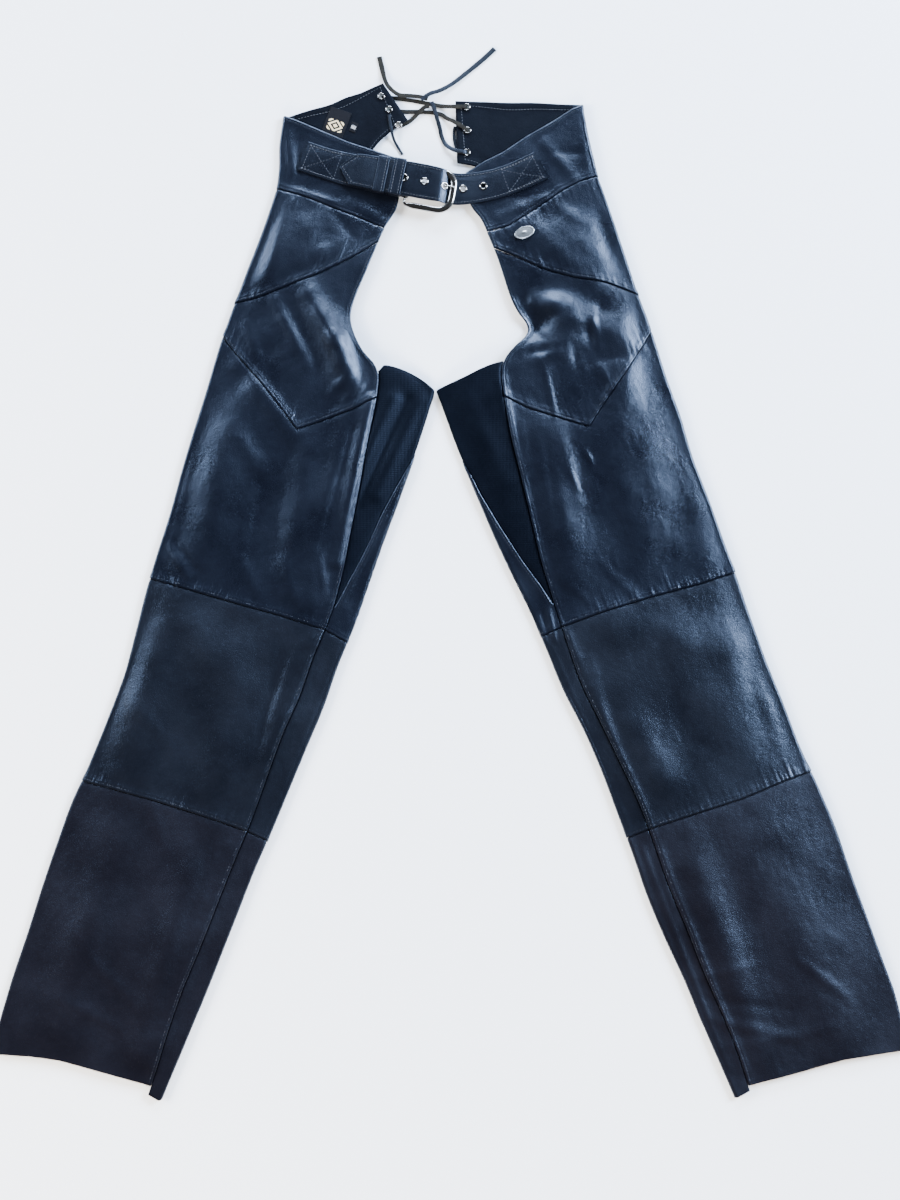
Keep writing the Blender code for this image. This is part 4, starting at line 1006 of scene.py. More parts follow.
def yoke(leg, eyelets):
    width = float(leg.edge(np.array([-40.0]))[0] - leg.outer(np.array([-40.0]))[0])
    front = spread(width, STEP_ACROSS * 1.2, True, False)[0] / width
    front[0] = 0.002
    stations = np.concatenate([front, np.linspace(1, 2, 13)[1:]])
    start = straight(leg.seams["top_edge"], stations)
    end = straight(leg.seams["waist"], stations) - SEAM_GAP / 2
    lengths = (end - start)[:, None]
    down = (start[:, None] + spread(lengths[:, 0], STEP_DOWN)).T
    shares = ((down - start) / lengths[:, 0])
    middle, out = formed(leg, "yoke", down, np.broadcast_to(stations, down.shape))
    parts = np.concatenate([np.linspace(0, 0.94, 60)[1:], 0.94 + 0.06 * np.linspace(0, 1, 9)[1:]])
    share = shares[:, -1:] + 0 * parts
    back = back_yoke_point(leg, parts + 0 * share, share)
    long_way = np.linalg.norm(back[-1] - back[0], axis=-1)
    to_edge = np.minimum(share, 1 - share) * long_way
    to_end = (np.linalg.norm(np.diff(back, axis=1), axis=-1))
    to_end = np.concatenate([np.cumsum(to_end[:, ::-1], axis=1)[:, ::-1], np.zeros((len(back), 1))], axis=1)
    near = np.minimum(to_edge, to_end)
    back[..., 2] += 0.5 * (1 + soft_noise(back[..., 0], back[..., 1], 46, leg.seed + 60)) * blend(near, 8, 30)
    hem = 0.6 * (1 - blend(near, 6.5, 8.5)) - 0.3 * np.exp(-(((near - 6) / 0.7) ** 2))
    wrinkles = 0.22 * soft_noise(back[..., 0], back[..., 1], 13, leg.seed + 61) * blend(near, 8, 20)
    grid = np.concatenate([middle, back], axis=1)
    down_out = np.zeros_like(back) + np.array([0, 0, -1.0])
    gain = np.concatenate([np.zeros(middle.shape[:2]), hem + wrinkles], axis=1)
    # The back yoke's up-facing inner side gets a darker, duller copy of the leather: painted shade.
    obj = leather_wall(
        f"yoke_panel_{leg.name}", grid, np.concatenate([out, down_out], axis=1), [UPPER_LEATHER, SHADED_INNER_LEATHER],
        inner_gain=gain, painted_shade_from=middle.shape[1] + 4,
    )
    cutters = []
    for label, eye_down, eye_across in eyelets:
        centre = leg.place(eye_down, eye_across, HALF + YOKE_END_LIFT + 1.0)
        cutters.append(ring_cutter(f"hole_{leg.name}_{label}", centre, Vector((0, 0, 1)), PUNCHED_HOLE))
        metal_eyelet(f"lace_eyelet_{leg.name}_{label}", centre - (0, 0, 1.0), Vector((0, 0, 1)), HALF + 0.25, rim=4.4)
    obj = punched(obj, cutters)
    lay(obj, f"yoke_{leg.name}")


# ---------- cutting and turned metal

def ring_cutter(name, centre, axis, radius, length=14, sides=28):
    turn = axis.to_track_quat("Z", "Y")
    verts = []
    for z in (-length / 2, length / 2):
        for k in range(sides):
            angle = 2 * math.pi * k / sides
            verts.append(Vector(centre) + turn @ Vector((radius * math.cos(angle), radius * math.sin(angle), z)))
    faces = [[k, (k + 1) % sides, sides + (k + 1) % sides, sides + k] for k in range(sides)]
    mesh = bpy.data.meshes.new(name)
    caps = [list(range(sides))[::-1], list(range(sides, 2 * sides))]
    mesh.from_pydata([tuple(v * MM) for v in verts], [], faces + caps)
    return place_object(name, mesh)


def punched(obj, cutters):
    """The piece with its holes cut, as a plain mesh."""
    for cutter in cutters:
        modifier = obj.modifiers.new(cutter.name, "BOOLEAN")
        modifier.operation = "DIFFERENCE"
        modifier.solver = "EXACT"
        modifier.object = cutter
    depsgraph = bpy.context.evaluated_depsgraph_get()
    mesh = bpy.data.meshes.new_from_object(obj.evaluated_get(depsgraph), depsgraph=depsgraph)
    name = obj.name
    for item in [obj] + cutters:
        bpy.data.objects.remove(item, do_unlink=True)
    mesh.name = name
    return place_object(name, mesh)


def lathe(name, centre, axis, profile, finish, sides=40):
    """Ring turned from a closed profile of radius and height."""
    turn = axis.to_track_quat("Z", "Y")
    verts = []
    for k in range(sides):
        angle = 2 * math.pi * k / sides
        for radius, height in profile:
            verts.append(Vector(centre) + turn @ Vector((radius * math.cos(angle), radius * math.sin(angle), height)))
    count = len(profile)
    faces = []
    for k in range(sides):
        j = (k + 1) % sides
        for m in range(count):
            n = (m + 1) % count
            faces.append([k * count + m, j * count + m, j * count + n, k * count + n])
    return outward(mesh_object(name, [tuple(v) for v in verts], faces, [finish], sharp=60))


def lift_off_floor(mesh):
    """Move anything under the floor up onto it."""
    for vert in mesh.vertices:
        vert.co.z = max(vert.co.z, FLOOR_GAP * MM)


def outward(obj):
    """Turn a closed mesh's faces out."""
    bm = bmesh.new()
    bm.from_mesh(obj.data)
    bmesh.ops.recalc_face_normals(bm, faces=bm.faces)
    bm.to_mesh(obj.data)
    bm.free()
    return obj


def metal_eyelet(node, centre, axis, half, rim=EYELET_RIM):
    """Eyelet: a rolled rim on the face and a barrel through the leather."""
    face, foot = half + 0.1, -half + 0.2
    profile = [(EYELET_HOLE + 0.25, foot), (EYELET_BARREL, foot), (EYELET_BARREL, face)]
    profile += [(rim, face), (rim + 0.05, face + 0.25)]
    middle = (rim + EYELET_HOLE) / 2
    reach = (rim - EYELET_HOLE) / 2
    for k in range(1, 9):
        angle = math.pi * k / 9
        profile.append((middle + reach * math.cos(angle), face + 0.25 + 0.85 * math.sin(angle)))
    profile.append((EYELET_HOLE, face - 0.4))
    obj = lathe(f"{node}_ring", centre, axis, profile, NICKEL)
    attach(obj, "root")
    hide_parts(node)
    return obj


# ---------- belt

def shifted(x, y, z):
    return np.array([x - ORIGIN[0], y - ORIGIN[1], z])


def smooth_rows(rows, spacing):
    """Rows read off a smooth curve through a route's own rows."""
    out = []
    for i in range(len(rows) - 1):
        p, q, r, s = (np.array(rows[k], float) for k in (max(i - 1, 0), i, i + 1, min(i + 2, len(rows) - 1)))
        steps = max(int(round(np.linalg.norm((r - q)[:3]) / spacing)), 1)
        for k in range(steps):
            t = k / steps
            out.append(0.5 * (2 * q + (r - p) * t + (2 * p - 5 * q + 4 * r - s) * t**2 + (3 * q - p - 3 * r + s) * t**3))
    out.append(np.array(rows[-1], float))
    return np.array(out)


def strap_frames(rows):
    """Centres, side directions and outward directions along a belt strap."""
    centres = np.array([shifted(*row[:3]) for row in rows])
    tangent = np.gradient(centres, axis=0)
    tangent /= np.linalg.norm(tangent, axis=1, keepdims=True)
    heading = np.radians(rows[:, 4])
    side = np.stack([-np.sin(heading), np.cos(heading), 0 * heading], axis=1)
    out = np.cross(tangent, side)
    out /= np.linalg.norm(out, axis=1, keepdims=True)
    return centres, side, out


def strap(name, rows, finish, thick=BELT_WALL):
    """Belt strap with rounded edges and a slight crown between its edge stitches."""
    centres, side, out = strap_frames(rows)
    half = thick / 2
    ring = [(-1, 0.0, 0.0), (-1, 0.55, 0.3), (-1, 0.9, 0.8)]
    loop = []
    for k in (0, 1, 2):
        loop.append((ring[k][0], ring[k][2], ring[k][1] * half))
    inner = np.linspace(0, 1, 15)
    verts, faces = [], []
    for i, row in enumerate(rows):
        w = row[3] / 2
        inset = min(0.9, w * 0.4)
        top = []
        for s in inner:
            u = -(w - inset) + 2 * (w - inset) * s
            from_edge = w - abs(u)
            rise = half - 0.3 * math.exp(-(((from_edge - 3.2) / 0.9) ** 2)) + 0.25 * float(blend(from_edge, 3, 12))
            top.append((u, rise))
        line = [(-w, 0.0), (-w + 0.15, half * 0.6), (-w + 0.5, half * 0.92)] + top
        line += [(w - 0.5, half * 0.92), (w - 0.15, half * 0.6), (w, 0.0)]
        line += [(w - 0.2, -half * 0.7), (w - 0.8, -half), (0, -half), (-w + 0.8, -half), (-w + 0.2, -half * 0.7)]
        if w < 4:
            scale = w / 6
            line = [(u * 1.0, v) if abs(u) <= w else (math.copysign(w, u), v) for u, v in line]
        for u, v in line:
            verts.append(centres[i] + side[i] * u + out[i] * v)
    count = len(line)
    for i in range(len(rows) - 1):
        for k in range(count):
            m = (k + 1) % count
            faces.append([i * count + k, i * count + m, (i + 1) * count + m, (i + 1) * count + k])
    last = (len(rows) - 1) * count
    mesh = bpy.data.meshes.new(name)
    faces += [list(range(count))[::-1], list(range(last, last + count))]
    mesh.from_pydata((np.array(verts) * MM).tolist(), [], faces)
    mesh.materials.append(finish)
    mesh.shade_smooth()
    mesh.set_sharp_from_angle(angle=math.radians(50))
    return outward(place_object(name, mesh))


def turn_round_bar():
    """Rows of the left strap where it folds round the buckle's bar."""
    x, y, z = BAR
    heading = math.radians(BELT_HEADING)
    rows = []
    for i in range(13):
        turn = math.pi * (i / 12)
        reach = WRAP_RADIUS * math.sin(turn)
        spot = (x + reach * math.cos(heading), y + reach * math.sin(heading), z + WRAP_RADIUS * math.cos(turn))
        rows.append((*spot, LEFT_STRAP[-1][3], BELT_HEADING))
    return rows


def box_cutter(name, centre, size, heading):
    half = np.array(size) / 2
    cosine, sine = math.cos(heading), math.sin(heading)
    verts = []
    for z in (-1, 1):
        for x, y in ((-1, -1), (1, -1), (1, 1), (-1, 1)):
            u, v = x * half[0], y * half[1]
            verts.append((centre + np.array([u * cosine - v * sine, u * sine + v * cosine, z * half[2]])) * MM)
    faces = [[0, 3, 2, 1], [4, 5, 6, 7], [0, 1, 5, 4], [1, 2, 6, 5], [2, 3, 7, 6], [3, 0, 4, 7]]
    mesh = bpy.data.meshes.new(name)
    mesh.from_pydata([tuple(v) for v in verts], [], faces)
    return place_object(name, mesh)


def on_strap(rows, along, across, lift=0.15, thick=BELT_WALL):
    """Points on a strap's face at distances from its start and its middle line."""
    centres, side, out = strap_frames(rows)
    run = np.concatenate([[0], np.cumsum(np.linalg.norm(np.diff(centres, axis=0), axis=1))])
    along, across = np.broadcast_arrays(np.asarray(along, float), np.asarray(across, float))

    def read(table):
        return np.stack([np.interp(along, run, table[:, k]) for k in range(3)], axis=-1)

    return read(centres) + read(side) * across[..., None] + read(out) * (thick / 2 + lift)


def strap_length(rows):
    centres = strap_frames(rows)[0]
    return float(np.linalg.norm(np.diff(centres, axis=0), axis=1).sum())


def strap_edges(rows, first, last, inset=3.2):
    """Two stitch lines along a strap's edges."""
    centres = strap_frames(rows)[0]
    run = np.concatenate([[0], np.cumsum(np.linalg.norm(np.diff(centres, axis=0), axis=1))])
    along = np.linspace(first, last, max(int((last - first) / 2.5), 8))
    width = np.interp(along, run, rows[:, 3]) / 2 - inset
    return [on_strap(rows, along, sign * width) for sign in (1, -1)]


def crossed_box(rows, first, last, half_first, half_last):
    """Stitch lines of a box with a cross, between two distances along a strap."""
    corners = [(first, half_first), (last, half_last), (last, -half_last), (first, -half_first)]
    lines = []
    for a, b in ((0, 1), (1, 2), (2, 3), (3, 0), (0, 2), (1, 3)):
        share = np.linspace(0, 1, 18)
        along = corners[a][0] + (corners[b][0] - corners[a][0]) * share
        across = corners[a][1] + (corners[b][1] - corners[a][1]) * share
        lines.append(on_strap(rows, along, across))
    return lines


def belt():
    over = smooth_rows(LEFT_STRAP + turn_round_bar()[:1], 4)[:-1]
    under = smooth_rows(turn_round_bar()[-1:] + TURN_BACK, 5)[1:]
    left_rows = np.concatenate([over, turn_round_bar(), under])
    left = strap("strap_left_leather", left_rows, BELT_LEATHER)
    slot = box_cutter("slot", shifted(BAR[0] + 1, BAR[1] - 0.2, BAR[2]), (12, 4.4, 12), math.radians(BELT_HEADING))
    left = punched(left, [slot])
    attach(left, "root")
    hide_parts("strap_left")
    lines = strap_edges(left_rows, 4, 96)
    lines += crossed_box(left_rows, 4.5, 43, 14.5, 15.5)
    coarse = smooth_rows(RIGHT_STRAP, 6)
    places = eyelet_places(coarse)
    right_rows = smooth_rows(RIGHT_STRAP, 2.5)
    right = strap("strap_right_leather", right_rows, BELT_LEATHER)
    cutters = []
    for label, (centre, axis) in places.items():
        cutters.append(ring_cutter(f"belt_hole_{label}", centre, axis, PUNCHED_HOLE, length=7))
        metal_eyelet(f"belt_eyelet_{label}", centre, axis, BELT_WALL / 2)
    right = punched(right, cutters)
    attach(right, "root")
    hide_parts("strap_right")
    total = strap_length(right_rows)
    lines += strap_edges(right_rows, 17, total - 4)
    lines += [on_strap(right_rows, np.linspace(2.6, 17, 9), s * np.linspace(0.4, 14.6, 9)) for s in (1, -1)]
    lines += crossed_box(right_rows, total - 46, total - 4.5, 14.0, 13.5)
    return lines


def eyelet_places(path):
    """Middle and axis of each belt eyelet, evenly along the strap from the pierced one."""
    points = [Vector(shifted(*row[:3])) for row in path]
    lengths = [0]
    for a, b in zip(points, points[1:]):
        lengths.append(lengths[-1] + (b - a).length)
    pierced = float(np.interp(PIERCED_X, [p.x + ORIGIN[0] for p in points], lengths))
    places = {}
    for label, steps in BELT_EYELET_STEPS.items():
        at = pierced + steps * EYELET_SPACING
        i = max(k for k in range(len(lengths) - 1) if lengths[k] <= at)
        share = (at - lengths[i]) / (lengths[i + 1] - lengths[i])
        along = (points[i + 1] - points[i]).normalized()
        heading = math.radians(path[i][4])
        side_way = Vector((-math.sin(heading), math.cos(heading), 0))
        places[label] = (points[i].lerp(points[i + 1], share), along.cross(side_way).normalized())
    return places


def closed_ring(name, centres, sections, finish, sharp=40):
    """Closed ring through centres, each with its own section points."""
    count, total = len(sections[0]), len(centres)
    verts = [c + o for c, section in zip(centres, sections) for o in section]
    faces = []
    for i in range(total):
        j = (i + 1) % total
        for k in range(count):
            m = (k + 1) % count
            faces.append([i * count + k, i * count + m, j * count + m, j * count + k])
    return outward(mesh_object(name, verts, faces, [finish], sharp=sharp))


def belt_axes():
    heading = math.radians(BELT_HEADING)
    along = np.array([math.cos(heading), math.sin(heading), 0])
    return along, np.array([-math.sin(heading), math.cos(heading), 0]), np.array([0, 0, 1.0])


def keepers():
    along, side_way, up = belt_axes()
    half_width = KEEPER_INNER_WIDTH / 2 + KEEPER_WALL / 2
    lines = []
    for name, x, y, length, floor, roof in KEEPERS:
        middle = shifted(x, y, (floor + roof) / 2)
        half_height = (roof - floor) / 2
        corner = 1.0
        outline = []
        for across, rise, start in ((1, 1, 0), (-1, 1, 90), (-1, -1, 180), (1, -1, 270)):
            for step in (0, 22.5, 45, 67.5, 90):
                angle = math.radians(start + step)
                outline.append((
                    across * (half_width - corner) + corner * math.cos(angle),
                    rise * (half_height - corner) + corner * math.sin(angle),
                    (math.cos(angle), math.sin(angle)),
                ))
            if start in (0, 180):
                turn = math.radians(start + 90)
                for s in np.linspace(0, 1, 9)[1:-1]:
                    u = (half_width - corner) * (1 - 2 * s) * (1 if start == 0 else -1)
                    outline.append((u, rise * half_height, (0, rise)))
        centres = [middle + side_way * u + up * v for u, v, out in outline]
        reach = length / 2
        profile = [
            (reach - 0.5, 0.5), (reach - 0.15, 0.38), (reach, 0), (reach - 0.15, -0.38), (reach - 0.5, -0.5),
            (-reach + 0.5, -0.5), (-reach + 0.15, -0.38), (-reach, 0), (-reach + 0.15, 0.38), (-reach + 0.5, 0.5),
            (-reach + 2.2, 0.5), (-reach + 3.0, 0.34), (-reach + 3.8, 0.5), (reach - 3.8, 0.5), (reach - 3.0, 0.34),
            (reach - 2.2, 0.5),
        ]
        sections = []
        for u, v, out in outline:
            outward_way = side_way * out[0] + up * out[1]
            sections.append([along * a + outward_way * (b * 2 * KEEPER_WALL / 2) for a, b in profile])
        obj = closed_ring(f"{name}_leather", centres, sections, BELT_LEATHER, sharp=60)
        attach(obj, "root")
        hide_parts(name)
        across = np.linspace(-half_width + 1.5, half_width - 1.5, 22)
        for offset in (reach - 3.0,) if name == "keeper_loose" else (reach - 3.0, -reach + 3.0):
            spots = middle + along * offset + up * (half_height + 0.45) + across[:, None] * side_way
            lines.append(spots)
    return lines


def buckle():
    along, side_way, up = belt_axes()
    bar = shifted(*BAR)
    far_end = FRAME_LENGTH - 4
    half_width = FRAME_HALF_WIDTH - FRAME_BAND[0] / 2
    outline = [(0, v) for v in np.linspace(-half_width + 4, half_width - 4, 20)]
    for step in range(1, 8):
        angle = math.radians(90 * step / 8)
        outline.append((4 - 4 * math.cos(angle), half_width - 4 + 4 * math.sin(angle)))
    outline += [(u, half_width) for u in np.linspace(4, far_end - FRAME_CORNER, 14)]
    for step in range(1, 12):
        angle = math.radians(90 - 90 * step / 12)
        outline.append((
            far_end - FRAME_CORNER + FRAME_CORNER * math.cos(angle),
            half_width - FRAME_CORNER + FRAME_CORNER * math.sin(angle),
        ))
    outline += [(far_end, v) for v in np.linspace(half_width - FRAME_CORNER, 0, 8)]
    outline += [(u, -v) for u, v in reversed(outline[20:-1])]
    centres, sections = [], []
    for i, (u, v) in enumerate(outline):
        before, after = outline[i - 1], outline[(i + 1) % len(outline)]
        ahead = np.array([after[0] - before[0], after[1] - before[1]])
        ahead = ahead / np.linalg.norm(ahead)
        plan = np.array([ahead[1], -ahead[0]])
        if plan @ np.array([u - far_end / 2, v]) < 0:
            plan = -plan
        outward_way = along * plan[0] + side_way * plan[1]
        share = float(blend(u, 0, 12))
        wide = BAR_RADIUS * (1 - share) + FRAME_BAND[0] / 2 * share
        tall = BAR_RADIUS * (1 - share) + FRAME_BAND[1] / 2 * share
        height = (FRAME_FAR_HEIGHT - BAR[2]) * u / far_end
        centres.append(bar + along * u + side_way * (v + FRAME_SHIFT) + up * height)
        ring = []
        for k in range(20):
            angle = 2 * math.pi * k / 20
            squared = 1 / (abs(math.cos(angle)) ** 2.6 + abs(math.sin(angle)) ** 2.6) ** (1 / 2.6)
            squared = 1 * (1 - share) + squared * share
            ring.append(outward_way * (wide * squared * math.cos(angle)) + up * (tall * squared * math.sin(angle)))
        sections.append(ring)
    obj = closed_ring("buckle_frame_metal", centres, sections, NICKEL, sharp=70)
    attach(obj, "root")
    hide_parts("buckle_frame")
    prong(bar, along)


def tube(name, points, radii, finish, sides=14):
    """Closed round rod along points, its ends capped flat."""
    points = np.array(points)
    tangent = np.gradient(points, axis=0)
    tangent /= np.linalg.norm(tangent, axis=1, keepdims=True)
    normal = np.cross(tangent[0], [0.3, 1, 0.1])
    verts, faces = [], []
    for i, p in enumerate(points):
        normal = normal - tangent[i] * (normal @ tangent[i])
        normal /= np.linalg.norm(normal)
        other = np.cross(tangent[i], normal)
        for k in range(sides):
            angle = 2 * math.pi * k / sides
            verts.append(p + radii[i] * (normal * math.cos(angle) + other * math.sin(angle)))
    for i in range(len(points) - 1):
        for k in range(sides):
            m = (k + 1) % sides
            faces.append([i * sides + k, i * sides + m, (i + 1) * sides + m, (i + 1) * sides + k])
    last = (len(points) - 1) * sides
    verts += [points[0], points[-1]]
    for k in range(sides):
        m = (k + 1) % sides
        faces.append([len(verts) - 2, m, k])
        faces.append([len(verts) - 1, last + k, last + m])
    mesh = bpy.data.meshes.new(name)
    mesh.from_pydata((np.array(verts) * MM).tolist(), [], faces)
    mesh.materials.append(finish)
    mesh.shade_smooth()
    return outward(place_object(name, mesh))


def prong(bar, along):
    points = []
    for step in range(7):
        angle = math.radians(-30 - 40 * step)
        points.append(bar + PRONG_LOOP_RADIUS * (along * math.cos(angle) + np.array([0, 0, math.sin(angle)])))
    for x, z in PRONG_ROUTE:
        points.append(bar + along * ((x - BAR[0]) / along[0]) + np.array([0, 0, z - BAR[2]]))
    smooth = smooth_rows(points, 1.2)
    radii = np.full(len(smooth), PRONG_RADIUS)
    radii[:2] = PRONG_RADIUS * np.array([0.5, 0.85])
    radii[-2:] = PRONG_RADIUS * np.array([0.85, 0.5])
    obj = tube("buckle_prong_metal", smooth, radii, NICKEL)
    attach(obj, "root")
    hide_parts("buckle_prong")


# ---------- lace

LACE_SUEDE_UP = ("lace_run_upper", "lace_crossing", "lace_tail_right", "lace_run_middle")


def lace_strip(name, rows):
    rows = smooth_rows(rows, 2.0)
    points = np.array([shifted(*row[:3]) for row in rows])
    tangent = np.gradient(points, axis=0)
    tangent /= np.linalg.norm(tangent, axis=1, keepdims=True)
    side = np.array([0, 1.0, 0])
    sides = []
    for t in tangent:
        if np.hypot(t[0], t[1]) > 0.3:
            turned = np.array([-t[1], t[0], 0]) / np.hypot(t[0], t[1])
            side = turned if turned @ side > 0 else -turned
        sides.append(side)
    sides = np.array(sides)
    for _ in range(4):
        sides[1:-1] = (sides[:-2] + 2 * sides[1:-1] + sides[2:]) / 4
    sides /= np.linalg.norm(sides, axis=1, keepdims=True)
    wear = np.random.default_rng(len(name) * 7)
    verts, faces, slots = [], [], []
    up_slot, under_slot = (1, 0) if name in LACE_SUEDE_UP else (0, 1)
    half = LACE_WALL / 2
    for i, p in enumerate(points):
        out = np.cross(tangent[i], sides[i])
        out = out if out[2] >= 0 or abs(out[2]) < 0.05 else -out
        w = rows[i][3] / 2 * (1 + 0.05 * wear.uniform(-1, 1))
        for u, v in ((w, 0), (w * 0.94, half * 0.8), (w * 0.6, half), (0, half * 1.08), (-w * 0.6, half),
                     (-w * 0.94, half * 0.8), (-w, 0), (-w * 0.94, -half * 0.8), (-w * 0.5, -half),
                     (w * 0.5, -half), (w * 0.94, -half * 0.8)):
            verts.append(p + sides[i] * u + out * v)
    count = 11
    for i in range(len(points) - 1):
        for k in range(count):
            m = (k + 1) % count
            faces.append([i * count + k, i * count + m, (i + 1) * count + m, (i + 1) * count + k])
            slots.append(up_slot if 1 <= k <= 4 else 1 if k in (0, 5, 6, 10) else under_slot)
    last = (len(points) - 1) * count
    mesh = bpy.data.meshes.new(f"{name}_thong")
    mesh.from_pydata((np.array(verts) * MM).tolist(), [], faces + [list(range(count))[::-1], list(range(last, last + count))])
    for finish in (LACE_LEATHER, LACE_SUEDE):
        mesh.materials.append(finish)
    mesh.polygons.foreach_set("material_index", np.array(slots + [1, 1], np.int32))
    mesh.shade_smooth()
    mesh.set_sharp_from_angle(angle=math.radians(60))
    obj = outward(place_object(f"{name}_thong", mesh))
    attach(obj, "root")
    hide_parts(name)
    return obj, points


def lace():
    for name, rows in LACE.items():
        obj, points = lace_strip(name, rows)


# ---------- label, tag and badge

def cloth_patch(node, leg, spec, finish):
    """Woven label lying on the back yoke, with its edges rounded."""
    down = spread(spec["down"][1] - spec["down"][0], 1.6)[0] + spec["down"][0]
    across = spread(spec["across"][1] - spec["across"][0], 1.6)[0] + spec["across"][0]
    d, a = np.meshgrid(down, across, indexing="ij")
    height = WALL + RESTING_GAP + LABEL_THICK / 2 + 0.5
    height = height + 0.3 * soft_noise(d, a, 14, 5)
    middle = leg.place(d, a, height)
    out = np.zeros_like(middle) + np.array([0, 0, 1.0])
    obj = leather_wall(f"{node}_cloth", middle, out, [finish], half=LABEL_THICK / 2)
    uv = obj.data.uv_layers.new(name="weave")
    size = (spec["across"][1] - spec["across"][0], spec["down"][1] - spec["down"][0])
    count = d.size
    us = ((a - spec["across"][0]) / size[0]).reshape(-1)
    vs = ((d - spec["down"][0]) / size[1]).reshape(-1)
    loops = np.zeros(len(obj.data.loops), np.int32)
    obj.data.loops.foreach_get("vertex_index", loops)
    uv.data.foreach_set("uv", np.stack([us[loops % count], vs[loops % count]], axis=-1).reshape(-1))
    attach(obj, "root")
    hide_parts(node)


def badge(leg):
    """Oval badge: a thin rim, a shallow field and a plain raised oval middle."""
    rings = [
        (0.0, 1.95), (0.12, 1.9), (0.24, 1.6), (0.3, 1.5), (0.5, 1.46), (0.7, 1.36), (0.84, 1.24), (0.87, 1.3),
        (0.9, 1.42), (0.95, 1.38), (0.985, 1.15), (1.0, 0.6),
    ]
    sides = 56
    verts, faces = [], []
    base = [(1.0, 0.0), (0.9, -0.4), (0.0, -0.4)]
    loops = rings[1:] + base[:2]
    for radius, rise in loops:
        for i in range(sides):
            angle = 2 * math.pi * i / sides
            ribbed = 0.03 * math.cos(angle * 12) * (0.45 < radius < 0.75)
            down = np.array([BADGE["down"] + BADGE["half_width"] * radius * math.sin(angle)])
            across = np.array([BADGE["across"] + BADGE["half_length"] * radius * math.cos(angle)])
            height = leg.height(down, across) + HALF + 1.3 + rise + ribbed
            verts.append(leg.place(down, across, height)[0])
    for radius, rise in (rings[0], base[2]):
        down, across = np.array([float(BADGE["down"])]), np.array([float(BADGE["across"])])
        verts.append(leg.place(down, across, leg.height(down, across) + HALF + 1.3 + rise)[0])
    total = len(loops)
    for k in range(total - 1):
        for i in range(sides):
            j = (i + 1) % sides
            faces.append([k * sides + i, k * sides + j, (k + 1) * sides + j, (k + 1) * sides + i])
    mesh = bpy.data.meshes.new("badge_metal")
    top, low = total * sides, total * sides + 1
    fans = [[top, i, (i + 1) % sides] for i in range(sides)]
    fans += [[low, (total - 1) * sides + (i + 1) % sides, (total - 1) * sides + i] for i in range(sides)]
    mesh.from_pydata((np.array(verts) * MM).tolist(), [], faces + fans)
    mesh.materials.append(BADGE_NICKEL)
    mesh.shade_smooth()
    mesh.set_sharp_from_angle(angle=math.radians(40))
    obj = outward(place_object("badge_metal", mesh))
    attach(obj, "root")
    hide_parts("badge")


# ---------- stitches

def add_socket(tree, name, kind, where="INPUT"):
    return tree.interface.new_socket(name=name, in_out=where, socket_type=kind)


def stitch_tree():
    """Short thread lengths along every line of a wire mesh."""
    tree = bpy.data.node_groups.new("stitch_rows", "GeometryNodeTree")
    add_socket(tree, "Geometry", "NodeSocketGeometry")
    for name in ("Spacing", "Length", "Radius"):
        add_socket(tree, name, "NodeSocketFloat")
    add_socket(tree, "Thread", "NodeSocketMaterial")
    add_socket(tree, "Geometry", "NodeSocketGeometry", "OUTPUT")
    nodes, link = tree.nodes, tree.links.new
    start, end = nodes.new("NodeGroupInput"), nodes.new("NodeGroupOutput")
    curve = nodes.new("GeometryNodeMeshToCurve")
    points = nodes.new("GeometryNodeCurveToPoints")
    points.mode = "LENGTH"
    align = nodes.new("FunctionNodeAlignRotationToVector")
    align.axis = "Z"
    thread = nodes.new("GeometryNodeMeshUVSphere")
    thread.inputs["Segments"].default_value = 6
    thread.inputs["Rings"].default_value = 4
    thread.inputs["Radius"].default_value = 1
    half = nodes.new("ShaderNodeMath")
    half.operation = "MULTIPLY"
    half.inputs[1].default_value = 0.5
    size = nodes.new("ShaderNodeCombineXYZ")
    place = nodes.new("GeometryNodeInstanceOnPoints")
    real = nodes.new("GeometryNodeRealizeInstances")
    smooth = nodes.new("GeometryNodeSetShadeSmooth")
    finish = nodes.new("GeometryNodeSetMaterial")
    link(start.outputs["Geometry"], curve.inputs["Mesh"])
    link(curve.outputs["Curve"], points.inputs["Curve"])
    link(start.outputs["Spacing"], points.inputs["Length"])
    link(points.outputs["Points"], place.inputs["Points"])
    link(points.outputs["Tangent"], align.inputs["Vector"])
    link(align.outputs["Rotation"], place.inputs["Rotation"])
    link(thread.outputs["Mesh"], place.inputs["Instance"])
    link(start.outputs["Length"], half.inputs[0])
    link(start.outputs["Radius"], size.inputs["X"])
    link(start.outputs["Radius"], size.inputs["Y"])
    link(half.outputs[0], size.inputs["Z"])
    link(size.outputs["Vector"], place.inputs["Scale"])
    link(place.outputs["Instances"], smooth.inputs["Geometry"])
    link(smooth.outputs["Geometry"], real.inputs["Geometry"])
    link(real.outputs["Geometry"], finish.inputs["Geometry"])
    link(start.outputs["Thread"], finish.inputs["Material"])
    link(finish.outputs["Geometry"], end.inputs["Geometry"])
    return tree


